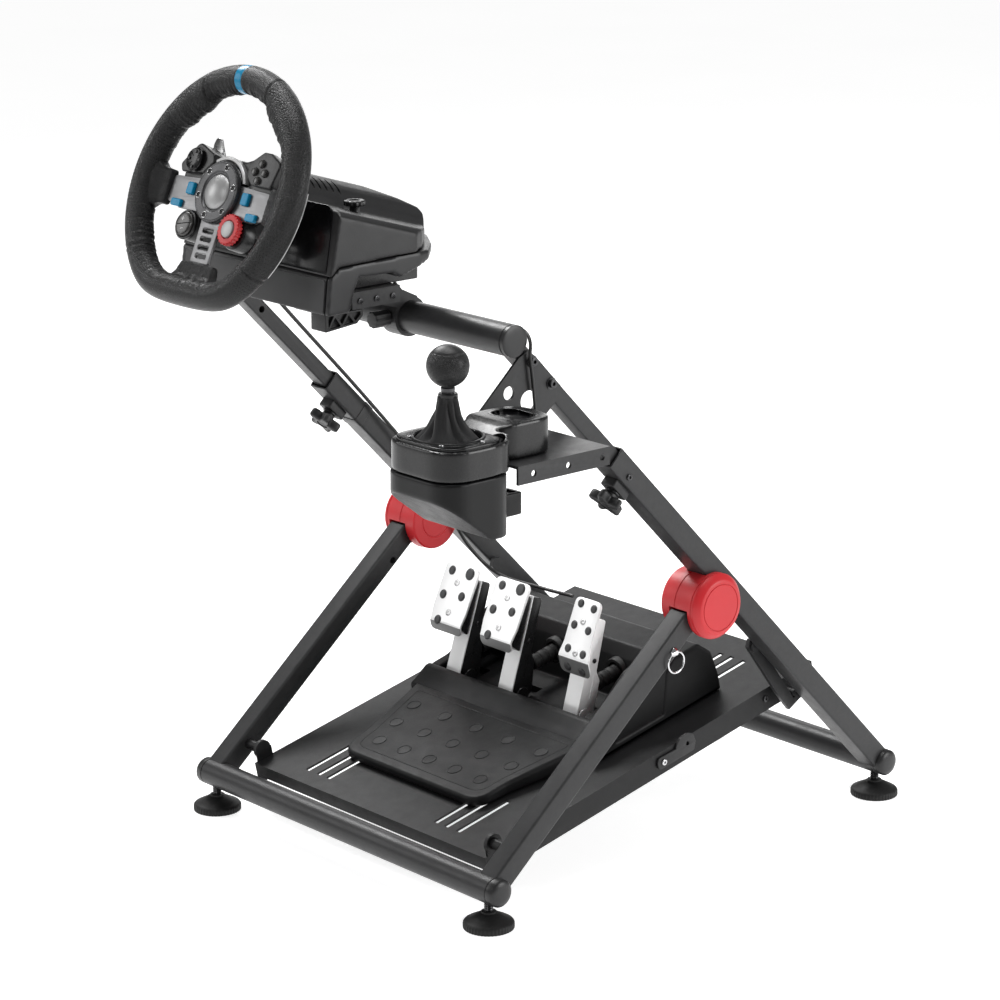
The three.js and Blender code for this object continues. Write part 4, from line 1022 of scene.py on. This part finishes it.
def control_housing():
    rear = slab([fillet([(-73, 22), (-52, 47), (-22, 38), (22, 38), (50, 48), (66, 49), (85, 41), (80, 14),
        (80, -14), (56, -20), (20, -40), (-20, -40), (-56, -20), (-73, -14)], 6)], -24, -9.4, 3, 4)
    left_pod = [(-74, 22, 5), (-52, 48, 9), (-24, 38, 5), (-20, 30, 3), (-33, 16.4, 4), (-69, 14, 3)]
    right_pod = [(36, 36, 4), (55, 50, 4), (66, 50, 5), (86, 41, 6), (80, 14, 4), (48, 14, 4), (38, 22, 4)]
    pods = [slab([fillet(left_pod, 4, 6)], -12, -2, 1.6, 3), slab([fillet(right_pod, 4, 6)], -12, -2, 1.6,
        3)]
    lobes = [placed(lathe([(0, -24), (15.6, -24), (17.2, -22.5), (17.2, -9.4), (16.2, -7.8), (15, -7.4),
        (0, -7.4)], 48), at(x, -37.5, 0)) for x in (-38.5, 38.5)]
    holes = [placed(lathe([(0, -6.5), (4.3, -6.5), (4.3, -2.6), (4.9, -1.6), (4.9, 1), (0, 1)], 32),
        at(BUTTONS_CENTRE[0] + x, BUTTONS_CENTRE[1] + y, 0)) for _, x, y in FACE]
    centre = post(19.4, -30, 5, 48)
    disc = post(34.3, -9.3, 5, 64)
    well = placed(lathe([(0, -2.9), (12.9, -2.9), (13.4, -2.2), (13.9, -1.6), (13.9, 2), (0, 2)], 48),
        at(*PAD_CENTRE))
    gap = block(-16.5, 16.5, -80, -39.5, -9.4, 0, 1, 0.05)
    on_wheel("control_housing_back", carved(rear, [centre, gap]), PLASTIC, "control_housing",
        slot="black_plastic")
    on_wheel("control_pod_left", carved(pods[0], [disc, well]), PLASTIC)
    on_wheel("control_pod_right", carved(pods[1], [disc, *holes]), PLASTIC)
    on_wheel("control_lobes", combined(*lobes), PLASTIC)
    shoulder = lathe([(34.6, -24), (38.6, -24), (39, -23), (39, -5), (38.2, -4.2), (35.6, -4.2), (34.6, -5),
        (34.6, -24)], 96)
    crop = block(-60, 60, -70, 14, -40, 20, 1, 0.05)
    on_wheel("control_centre_arc", carved(shoulder, [crop]), DOME)


def hub_screw_spots(z):
    angles = [math.radians(a) for a in range(15, 375, 60)]
    return [at(27 * math.cos(a), 27 * math.sin(a), z) for a in angles]


def hub_centre():
    face = [(19.4, -4.7), (32.8, -4.7), (33.5, -4), (33.5, -1.6), (32.6, 0), (31.6, 0.5), (30.9, 0.4),
        (30.6, 0), (30.3, 0.5), (24, 0.95), (22.4, 0.9), (21.4, 0.2), (20.8, -0.6), (19.6, -0.8),
        (19.4, -1.4)]
    face_ring = lathe(face + [face[0]], 96)
    bolt = lathe([(0, -1.2), (2.9, -1.2), (3.2, 0.2), (3.4, 3), (0, 3)], 32)
    bolts = [placed(bolt, spot) for spot in hub_screw_spots(0)]
    on_wheel("hub_face_ring", carved(face_ring, bolts), RING, "hub_ring", slot="grey_plastic")
    eye = lathe([(2.9, -1), (3.5, -1), (3.5, 1.1), (3.2, 1.3), (2.9, 1.1), (2.9, -1)], 32)
    eyes = [placed(eye, spot) for spot in hub_screw_spots(0)]
    on_wheel("hub_screw_rings", combined(*eyes), SATIN)
    screws = [placed(socket_screw(1.9, 1.5), spot) for spot in hub_screw_spots(-1)]
    on_wheel("hub_screws", combined(*screws), GLOSS)
    dome = lathe([(0, -4.6), (18.9, -4.6), (19, -1.6), (18.6, -0.7), (17.6, 0.4), (15.4, 1.9), (12.6, 3.3),
        (9, 4.6), (5, 5.5), (0, 5.9)], 96)
    on_wheel("hub_dome", dome, DOME)


def direction_pad():
    pad = lathe([(0, -2.2), (4, -2.2), (8, -0.6), (11.4, 0.3), (12.3, 1), (12.3, 1.8), (11.8, 2.5),
        (10.8, 2.9), (9, 2.5), (6, 1.7), (0, 1.4)], 64)
    marks = [placed(block(6.4, 10.2, -1.5, 1.5, 1.5, 3.3, 1, 0.5), Matrix.Rotation(q * math.pi / 2, 4, "Z"))
        for q in range(4)]
    slits = [placed(block(4, 15, -0.45, 0.45, 1.2, 5, 0.3, 0.05),
        Matrix.Rotation(math.pi / 4 + q * math.pi / 2, 4, "Z")) for q in range(4)]
    piece("direction_pad_disc", combined(carved(pad, slits), *marks), WHEEL @ at(*PAD_CENTRE),
        "direction_pad", GLOSS, "direction_pad", slot="black_plastic")


def buttons():
    cap = lathe([(0, -4.4), (3.9, -4.4), (3.9, 0.2), (3.6, 0.8), (2.9, 1.15), (0, 1.3)], 40)
    for word, x, y in FACE:
        piece(f"face_button_{word}_cap", cap, WHEEL @ at(BUTTONS_CENTRE[0] + x, BUTTONS_CENTRE[1] + y, 0),
            f"face_button_{word}", BUTTON, f"face_button_{word}", slot="button_grey")
    for (x, y, w, h), word in zip(ACCENTS, ("upper_left", "upper_right", "lower_left", "lower_right")):
        cap = slab([rectangle(x - w, x + w, y - h, y + h, 2.2, 5)], -6.1, -1.2, 1.2, 3)
        piece(f"accent_button_{word}_cap", cap, WHEEL, f"accent_button_{word}", BLUE,
            f"accent_button_{word}", slot="accent_blue")


def rocker_switch():
    rocker = lathe([(0, -5.2), (11, -5.4), (13, -4.6), (13.4, -3.6), (13.2, -1.8), (12.2, -0.8),
        (10.6, -0.3), (8, 0.1), (0, 0.4)], 72)
    split = block(-20, 20, -0.55, 0.55, -1.8, 4, 0.3, 0.05)
    rim_cut = lathe([(10.9, -1.2), (11.6, -1.2), (11.6, 4), (10.9, 4), (10.9, -1.2)], 64)
    plus = combined(block(-2.2, 2.2, 4.9, 5.7, 0.05, 0.45, 0.3, 0.1),
        block(-0.4, 0.4, 3.1, 7.5, 0.05, 0.45, 0.3, 0.1), block(-2.2, 2.2, -5.7, -4.9, 0.05, 0.45, 0.3,
        0.1))
    place = WHEEL @ at(*ROCKER_CENTRE) @ Matrix.Rotation(math.radians(12), 4, "Z")
    piece("rocker_cap", carved(rocker, [split, rim_cut]), place, "plus_minus_rocker", BUTTON,
        "plus_minus_rocker", slot="black_plastic")
    piece("rocker_marks", plus, place, "plus_minus_rocker", MARK)
    collar = lathe([(13.7, -7.4), (15.4, -7.4), (15.9, -6.6), (15.9, -4.4), (15.3, -3.6), (14.2, -3.6),
        (13.7, -4.2), (13.7, -7.4)], 64)
    piece("rocker_surround", collar, WHEEL @ at(*ROCKER_CENTRE), "steering", PLASTIC)


def dial():
    place = WHEEL @ at(*DIAL_CENTRE)
    teeth = carved(slab([star(24, 15.9, 0.75, 288)], -4.7, 1.7, 0.9, 3),
        [lathe([(0, 0.2), (9.6, 0.2), (10.4, 1.8), (0, 1.9)], 64)])
    piece("dial_ring", teeth, place, "selector_dial", DIAL_RED, "selector_dial", slot="dial_red")
    piece("dial_centre", lathe([(0, -7), (6, -7), (6, 0), (9, 0), (9, 2), (8.5, 3), (7.2, 3.4), (0, 3.5)],
        64), place, "selector_dial", DOME)


def paddles():
    outline = [(29.5, 6, 2), (29.5, 28, 6), (44, 46, 10), (54, 59, 4), (61.5, 60, 4), (64, 52, 6),
        (57, 24, 10), (50, 4, 4)]
    blade = combined(slab([fillet(outline, 4, 6)], -31, -28, 1, 3),
        placed(lathe([(0, 8), (3, 8), (3.4, 8.4), (3.4, 27.6), (3, 28), (0, 28)], 32),
        at(31, 0, -27.7) @ REARWARD))
    for word, side in SIDES:
        piece(f"shift_paddle_{word}_blade", blade, WHEEL @ side, f"paddle_{word}", SATIN,
            f"shift_paddle_{word}", slot="bright_steel")


def wheel():
    on_wheel("rim_grip_leather", rim_leather(), [HIDE, HOLED, BLUE], "wheel_rim", sharp=70, slot="leather")
    spoke_wraps()
    rim_back_highlight()
    spoke_plate()
    control_housing()
    hub_centre()
    direction_pad()
    buttons()
    rocker_switch()
    dial()
    paddles()


# ---- shifter -----------------------------------------------------------------------------------
def plan(w, d, r, x=SHIFTER[0], y=SHIFTER[1], n=9):
    return fillet([(x - w, y - d, r), (x + w, y - d, r), (x + w, y + d, r), (x - w, y + d, r)], r, n)


def shifter_housing():
    side = [(-168, 540.4), (-168, 524), (-106, 477), (-58, 474), (-58, 540.4)]
    body = carved(slab([plan(52, 45, 30)], 455, 540.4, 0.05), [prism_x(side, 250, 380)], "INTERSECT")
    body = softened(body, 1.6, 5)
    bore = placed(post(37, 530, 620, 64), at(*SHIFTER, 0))
    arm = block(325, 347, -80, -50, 490, 513, 3, 1.2)
    slot = block(329, 343, -64, -54, 511, 520, 2, 0.05)
    on_slider("shifter_lower_shell", combined(carved(body, [bore]), carved(arm, [slot])), DEEP,
        "shifter_lower_housing", sharp=45, slot="black_plastic")
    front = slab([plan(52, 45, 34)], 540.6, 583, 2, 5)
    rear = slab([plan(34, 40, 30, 310, -38)], 545.6, 583, 2, 9)
    boss = placed(post(15, 540.6, 583, 48), at(*CLAMP_KNOB))
    ramp = [(-180, 571.8), (-92, 571.8), (-84, 573.2), (-70, 580), (-60, 582.4), (20, 582.4), (20, 600),
        (-180, 600)]
    both = carved(carved(front, [rear, boss], "UNION"), [prism_x(fillet(ramp, 6, 4), 230, 400)])
    both = softened(both, 1.5, 14)
    oval = slab([rectangle(288, 332, -46, -14, 14, 9)], 579, 590, 0.05)
    knob_well = placed(lathe([(0, 560), (11, 560), (11.6, 569), (12.4, 600), (0, 600)], 40), at(*CLAMP_KNOB))
    on_slider("shifter_upper_shell", carved(both, [bore, knob_well, oval]), SHELL, "shifter_upper_housing",
        slot="black_plastic")
    lip = slab([rectangle(285, 335, -49, -11, 16, 9), rectangle(288, 332, -46, -14, 14, 9)], 578, 582.6,
        0.7, 3)
    on_slider("shifter_rear_lip", lip, GLOSS)
    dish = slab([rectangle(287, 333, -47, -13, 14, 9)], 577.4, 579.6, 0.9, 3)
    on_slider("shifter_rear_dish", dish, GLOSS)
    grip = combined(slab([star(10, 9, 0.5)], 562, 573.4, 1.2, 3), post(5, 560, 564, 24))
    on_slider("shifter_clamp_knob", placed(grip, at(*CLAMP_KNOB)), PLASTIC)
    bezel_ring = slab([plan(47.5, 40.5, 30), ring(33.4, *SHIFTER, 72)], 570.6, 574.6, 1.2, 3)
    on_slider("shifter_bezel", bezel_ring, GLOSS)
    inner = lathe([(33.4, 571), (36.6, 571), (37.2, 572), (37, 575), (36, 576), (34.4, 576), (33.4, 575),
        (33.4, 571)], 96)
    on_slider("shifter_bezel_lip", placed(inner, at(*SHIFTER, 0)), PLASTIC)
    screws = [placed(cross_screw(2.4, 1.1), at(313 + 41 * math.cos(a), -118 + 36 * math.sin(a), 574.5))
        for a in (0.3 + k * TAU / 5 for k in range(5))]
    on_slider("shifter_bezel_screws", combined(*screws), CHROME)


def shift_boot():
    rows, sides = 46, 120
    outline = [(6.4, 61.6), (8.4, 62), (9.4, 61), (9.6, 57.6), (11, 53), (12.6, 47.6), (14.4, 42),
        (17, 35.6), (20, 28.6), (23, 23.8), (26.4, 19.8), (29.4, 17), (31.4, 14.8), (31.6, 13)]
    curve = spline_through([(r, 0, z) for r, z in outline], rows)
    verts = []
    for i, p in enumerate(curve):
        down = i / rows
        for k in range(sides):
            a = k * TAU / sides
            swirl = a + 1.1 * (1 - down)
            fold = math.sin(7 * swirl + 1.4 * math.sin(3 * a)) * 0.9 + math.sin(4 * swirl - 2.2) * 0.7
            fold += noise.noise(Vector((math.cos(a) * 2, math.sin(a) * 2, down * 3))) * 1.6
            amount = 2.7 * math.sin(math.pi * min(1, max(0, (down - 0.07) / 0.93))) ** 0.7
            r = p[0] + (fold - 0.8) * amount * 0.75
            z = p[2] + fold * 0.5 * amount * down
            verts.append((r * math.cos(a), r * math.sin(a), z))
    boot = from_faces(verts, grid_faces(len(curve), sides))
    boot = evaluated(boot, thickened)
    piece("shift_boot_skin", placed(boot, at(*PIVOT)), RIG, "lever", LINING, "shift_boot", sharp=80,
        slot="leather")
    collar = lathe([(6.2, 60), (9, 60), (9.8, 61), (9.8, 63.6), (9, 64.8), (6.2, 65), (6.2, 60)], 48)
    piece("shift_boot_collar", placed(collar, at(*PIVOT)), RIG, "lever", PLASTIC)


def shift_lever():
    rod = lathe([(0, 12), (6, 12), (6, 66), (7, 66.6), (7.2, 70), (6.2, 70.6), (5.6, 71), (5.6, 73.4),
        (0, 73.4)], 48)
    fork = [block(-8, 8, -11, 11, 9, 16, 1.5, 0.6), block(-8, 8, 8, 11, -8, 10, 0.8, 0.5),
        block(-8, 8, -11, -8, -8, 10, 0.8, 0.5)]
    pin = placed(post(3, -10.5, 10.5, 24), Matrix.Rotation(math.pi / 2, 4, "X"))
    piece("shift_lever_rod", placed(combined(rod, *fork, pin), at(*PIVOT)), RIG, "lever", RING,
        "shift_lever", slot="brushed_metal")
    profile = [(0, -20.8), (5, -20.8), (6.4, -20.6)]
    profile += [(21.5 * math.cos(math.radians(a)), 21.5 * math.sin(math.radians(a)))
        for a in range(-70, 41, 3)]
    profile += [(21.5 * math.cos(math.radians(41)) - 0.4, 21.5 * math.sin(math.radians(41)) - 0.4, 1)]
    profile += [(21.3 * math.cos(math.radians(a)), 21.3 * math.sin(math.radians(a)), 1)
        for a in range(43, 88, 4)]
    profile += [(0, 21.2, 1)]
    piece("shift_knob_ball", placed(lathe(profile, 96), at(*SHIFTER, 646)), RIG, "lever", [HIDE, TEXTURED],
        "shift_knob", sharp=50, slot="black_plastic")


def shifter():
    shifter_housing()
    shift_boot()
    shift_lever()


# ---- pedals ------------------------------------------------------------------------------------
WIDE_STUDS = [(-.277, .864, 5.6), (.26, .887, 7.4), (-.327, .44, 5.6), (.233, .49, 5.6), (-.255, .01, 5.6)]
NARROW_STUDS = [(-.25, .9, 5), (.26, .87, 5), (-.27, .53, 5), (.25, .5, 5), (-.25, .13, 5), (.27, .1, 5),
    (-.24, -.2, 5.6), (.24, -.22, 5.6)]
# x, widths at the foot and the head, fold line, top line, lip length, studs, screws, front edge of the arm
PEDALS = {"left": dict(x=-119, foot=54, head=58, fold=(248, 93), top=(291, 149.7), lip=13, studs=WIDE_STUDS,
    screws=[(-.03, .686), (0, .175)], arm=((249, 34), (303, 125.6)), finish=PLASTIC),
    "centre": dict(x=-27, foot=53, head=58, fold=(246, 97), top=(288.5, 153), lip=14, studs=WIDE_STUDS,
    screws=[(-.03, .686), (0, .175)], arm=((249, 34), (302, 128)), finish=PLASTIC),
    "right": dict(x=78, foot=50, head=42, fold=(270, 87), top=(308, 145), lip=22, studs=NARROW_STUDS,
    screws=[(0, .62), (.02, .08)], arm=((255, 32), (304, 124)), finish=PEDAL), }
BEND = math.radians(34)  # how far a face plate is folded back
SWEEP_OF_BEND = 4.0  # length of plate that the fold takes up
FOLD_START = 0.4  # where it begins, above the fold line
HEEL_RISE, HEEL_RUN = 11, 154
SPRING_HEIGHT = 42


def heel_height(v):
    """The height of the sloping heel rest at a distance v along the plate."""
    return 13 + (v - 73) * HEEL_RISE / HEEL_RUN


def heel_rest():
    outline = [(-118, 66, 26), (118, 66, 26), (122, 110, 60), (148, 212, 3), (-148, 212, 3), (-122, 110, 60)]
    mat = slab([fillet(outline, 4, 10)], 0, 10, 3.4, 5)
    for v in mat.vertices:
        v.co.z = 0.4 + v.co.z / 10 * (heel_height(v.co.y) - 0.4)
    parts = [mat]
    inner = fillet([(-107, 80, 20), (107, 80, 20), (110, 112, 60), (131, 200, 6), (-131, 200, 6),
        (-110, 112, 60)], 4, 10)
    parts.append(sweep([(x, v, heel_height(v) - 0.35) for x, v in inner], 0.65, 8, closed=True))
    tilt = Matrix.Rotation(math.atan2(HEEL_RISE, HEEL_RUN), 4, "X")
    dot = lathe([(0, -1), (8.9, -1), (8.9, 0.15), (8.5, 0.55), (7.7, 0.55), (7.3, 0.15), (0, 0.3)], 40)
    for v, first, step, count in ((174, -110, 55, 5), (137, -100, 50, 5), (100, -88, 44, 5)):
        for k in range(count):
            parts.append(placed(dot, at(first + step * k, v, heel_height(v)) @ tilt))
    piece("heel_rest", combined(*parts), PLATE, "pedal_plate", PEDAL_BASE, "pedal_base", sharp=40,
        slot="black_plastic")


def pedal_housing():
    body = [(208, 0.4), (208, 21, 4), (222, 27, 16), (236, 33.5, 10), (241.5, 33.5, 3), (244.5, 30, 3),
        (246, 12, 2), (322, 12, 3), (336, 58, 6), (350, 70, 8), (392, 70, 10), (410, 52, 8), (416, 20, 4),
        (416, 0.4)]
    parts = [prism_x(fillet(body, 2, 6), -158, 158, 4.5, 5)]
    shoulder = [(230, 2), (230, 24, 4), (246, 32, 8), (272, 33, 20), (312, 58, 20), (340, 64, 8), (352, 66),
        (352, 2)]
    for x0, x1 in ((-156, -140), (108, 156)):
        parts.append(prism_x(fillet(shoulder, 2, 8), x0, x1, 3.4, 5))
    footprint = slab([fillet([(-160, 204, 30), (160, 204, 30), (160, 420, 14), (-160, 420, 14)], 4, 8)], -1,
        90, 0.05)
    parts[0] = carved(parts[0], [footprint], "INTERSECT")
    bores = [placed(post(15, 0, 60, 40), at(p["x"], 300, SPRING_HEIGHT) @ REARWARD)
        for p in PEDALS.values()]
    slots = [block(p["x"] - 12.8, p["x"] + 12.8, 245.5, 292, 4, 60, 1, 0.05) for p in PEDALS.values()]
    body = carved(parts[0], bores + slots)
    piece("pedal_housing", combined(body, *parts[1:]), PLATE, "pedal_plate", PEDAL_BASE, sharp=40)


def pedal_springs():
    """Spring sleeves, one for each pedal."""
    for word, p in PEDALS.items():
        spring = [(0, 292), (8, 292), (8.6, 292.8)]
        for k in range(5):
            v = 294 + k * 11
            spring += [(8.8, v), (9.2, v + 1), (9.2, v + 7), (8.8, v + 8), (8.1, v + 9), (8.1, v + 10)]
        spring += [(8.8, 352), (0, 352)]
        mesh = combined(lathe(spring, 40), lathe([(12, 329), (15.4, 329), (16.4, 331), (16.4, 339),
            (12, 339), (12, 329)], 48))
        sleeve = piece(f"pedal_{word}_sleeve", placed(mesh, at(p["x"], 0, SPRING_HEIGHT) @ REARWARD), PLATE,
            None, RUBBER)
        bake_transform(sleeve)


def folded(mesh):
    """Bends the part of a flat plate that lies below its fold line backwards through BEND."""
    b = bmesh.new()
    b.from_mesh(mesh)
    for k in range(8):
        bmesh.ops.bisect_plane(b, geom=b.verts[:] + b.edges[:] + b.faces[:], plane_no=(0, 1, 0),
            plane_co=(0, FOLD_START - k * SWEEP_OF_BEND / 7, 0))
    radius = SWEEP_OF_BEND / BEND
    for v in b.verts:
        past = FOLD_START - v.co.y
        if past > 0:
            turn = min(1, past / SWEEP_OF_BEND) * BEND
            over = max(0, past - SWEEP_OF_BEND)
            depth = v.co.z
            v.co.y = FOLD_START - (radius + depth) * math.sin(turn) - over * math.cos(turn)
            v.co.z = depth - (radius + depth) * (1 - math.cos(turn)) - over * math.sin(turn)
    b.to_mesh(mesh)
    b.free()
    return mesh


def pedal_face(word, face, foot, head, length, lip, studs, screws):
    """The folded face plate with its rubber studs and screws, in the plate's own frame."""
    body = f"pedal_{word}"
    a, b = foot / 2, head / 2
    flare = b if head > foot else b + 1
    outline = [(-a, -lip, 9), (a, -lip, 9), (a, 2, 6), (flare, 16, 12), (b, length, 8), (-b, length, 8),
        (-flare, 16, 12), (-a, 2, 6)]
    plate = folded(slab([fillet(outline, 6, 6)], -3, 0, 0.8, 3))
    for polygon in plate.polygons:
        # faces of the folded lip take the darker lip colour: painted shade
        if polygon.center.y < -SWEEP_OF_BEND * 0.5 and polygon.normal.z > 0.2:
            polygon.material_index = 1
    piece(f"pedal_{word}_face", plate, face, body, [PEDAL, PAINTED_LIP_SHADE], body, slot="bright_steel")
    pads, heads = [], []
    for u, s, r in studs:
        spot = at(u * (foot + (head - foot) * max(0, s)), s * length, 0)
        if s < 0:
            past = -s * length + FOLD_START
            over = past - SWEEP_OF_BEND
            radius = SWEEP_OF_BEND / BEND
            spot = at(u * foot, FOLD_START - radius * math.sin(BEND) - over * math.cos(BEND),
                -radius * (1 - math.cos(BEND)) - over * math.sin(BEND)) @ Matrix.Rotation(BEND, 4, "X")
        pads.append(placed(lathe([(0, -0.6), (r - 0.7, -0.6), (r - 0.6, 0.5), (r - 1.3, 1.2),
            (r - 2.4, 1.5), (0, 1.1)], 36), spot))
        heads.append(placed(lathe([(r - 0.6, -0.3), (r, -0.3), (r, 0.2), (r - 0.3, 0.45), (r - 0.6, 0.2),
            (r - 0.6, -0.3)], 36), spot))
    piece(f"pedal_{word}_studs", combined(*pads), face, body, STUD)
    piece(f"pedal_{word}_stud_rims", combined(*heads), face, body, DARK_STEEL)
    bolts = [placed(socket_screw(4, 0.8), at(u * foot, s * length, -0.2)) for u, s in screws]
    piece(f"pedal_{word}_screws", combined(*bolts), face, body, SATIN)


def pedal_arm(word, x, fold, length, slope, arm, finish):
    """The arm from its pivot to the back of the face, with the mount between them."""
    body = f"pedal_{word}"
    (v0, w0), (v1, w1) = arm
    ahead = Vector((v1 - v0, w1 - w0)).normalized()
    back = Vector((ahead.y, -ahead.x))

    def along(start, step, depth):
        return (start[0] + ahead.x * step + back.x * depth, start[1] + ahead.y * step + back.y * depth)
    side = [along(arm[0], 0, 1.8), along(arm[1], 0, 1.8), (*along(arm[1], 0, 16), 4),
        (*along(arm[0], 44, 18), 8), (*along(arm[0], 34, 26), 6), (276, 14, 8), (256, 12, 6)]
    beam = prism_x(fillet(side, 1, 5), x - 11.4, x + 11.4, 0.7)
    barrel = placed(lathe([(0, -12), (8.6, -12), (9, -11.4), (9, 11.4), (8.6, 12), (0, 12)], 40),
        at(x, 262, 18) @ ACROSS)
    slit = prism_x(fillet([along(arm[0], 12, 13), along(arm[0], 40, 13), along(arm[0], 40, 15.4),
        along(arm[0], 12, 15.4)], 1), x + 10.6, x + 13)
    cup = placed(post(3.6, 10.8, 14, 24), at(x, *along(arm[0], 56, 11)) @ ACROSS)
    piece(f"pedal_{word}_arm", combined(carved(beam, [slit, cup]), barrel), PLATE, body, finish)
    bolt = placed(socket_screw(2.8, 1.2), at(x + 10.7, *along(arm[0], 56, 11)) @ ACROSS)
    piece(f"pedal_{word}_arm_bolt", bolt, PLATE, body, DARK_STEEL)
    strap = [along(arm[0], -8, 0), along(arm[1], 1, 0), along(arm[1], 1, 1.7), along(arm[0], -8, 1.7)]
    piece(f"pedal_{word}_strap", prism_x(fillet(strap, 0.4), x - 12, x + 12, 0.3), PLATE, body, PEDAL)

    def behind(s, depth):
        return (fold[0] + math.cos(slope) * s * length + math.sin(slope) * depth,
            fold[1] + math.sin(slope) * s * length - math.cos(slope) * depth)
    mount = [behind(0.0, 3.2), behind(0.95, 3.2), along(arm[1], -2, -0.2), along(arm[1], -66, -0.2)]
    piece(f"pedal_{word}_mount", prism_x(fillet(mount, 2), x - 10.5, x + 10.5, 0.6), PLATE, body, PLASTIC)


def pedal(word, x, foot, head, fold, top, lip, studs, screws, arm, finish):
    dv, dw = top[0] - fold[0], top[1] - fold[1]
    length, slope = math.hypot(dv, dw), math.atan2(dw, dv)
    face = PLATE @ at(x, *fold) @ Matrix.Rotation(slope, 4, "X")
    pedal_face(word, face, foot, head, length, lip, studs, screws)
    pedal_arm(word, x, fold, length, slope, arm, finish)


def pedal_set():
    heel_rest()
    pedal_housing()
    pedal_springs()
    for word, settings in PEDALS.items():
        pedal(word, **settings)


# ---- stage -------------------------------------------------------------------------------------
# name, place and size in metres, power in watts
LAMPS = (("left_high", (-2.1, 0.3, 2.7), 1.2, 72), ("left_front", (-2.4, -2.2, 1.7), 1.6, 22),
    ("right_back", (2.9, 1.7, 1.3), 1.6, 62), ("left_back", (-2.2, 2.2, 1.3), 1.4, 13),
    ("top", (0, 0, 3.2), 1.5, 50), ("key", (0.6, -3.2, 2.4), 1.0, 16), )


def stage():
    mesh = bpy.data.meshes.new("floor")
    b = bmesh.new()
    bmesh.ops.create_grid(b, x_segments=8, y_segments=8, size=14)
    b.to_mesh(mesh)
    b.free()
    floor = bpy.data.objects.new("floor", mesh)
    scene.collection.objects.link(floor)
    g = Graph("floor_white")
    tone = g.spread(g.noise(2.0, 3), 0.3, 0.7, 0.62, 0.66)
    g.set(g.shader.inputs["Base Color"], g.grey(tone))
    g.set(g.shader.inputs["Roughness"], g.spread(g.noise(40, 2), 0.3, 0.7, 0.7, 0.85))
    g.shader.inputs["Emission Color"].default_value = (1, 1, 1, 1)
    g.shader.inputs["Emission Strength"].default_value = 0.8
    floor.data.materials.append(g.material)
    world = bpy.data.worlds.new("studio")
    world.use_nodes = True
    world.node_tree.nodes["Background"].inputs["Color"].default_value = (1, 1, 1, 1)
    world.node_tree.nodes["Background"].inputs["Strength"].default_value = 0.24
    scene.world = world


def lights():
    for name, place, size, power in LAMPS:
        data = bpy.data.lights.new(name, "AREA")
        data.energy = power
        data.size = size
        lamp = bpy.data.objects.new(name, data)
        lamp.location = place
        lamp.rotation_euler = (Vector((0, 0, 0.5)) - Vector(place)).to_track_quat("-Z", "Y").to_euler()
        scene.collection.objects.link(lamp)


cables()
bars()
feet()
tubes()
hubs()
knobs()
pin()
sheet_steel()
base()
wheel()
shifter()
pedal_set()
stage()
lights()
scene.view_settings.view_transform = "Standard"
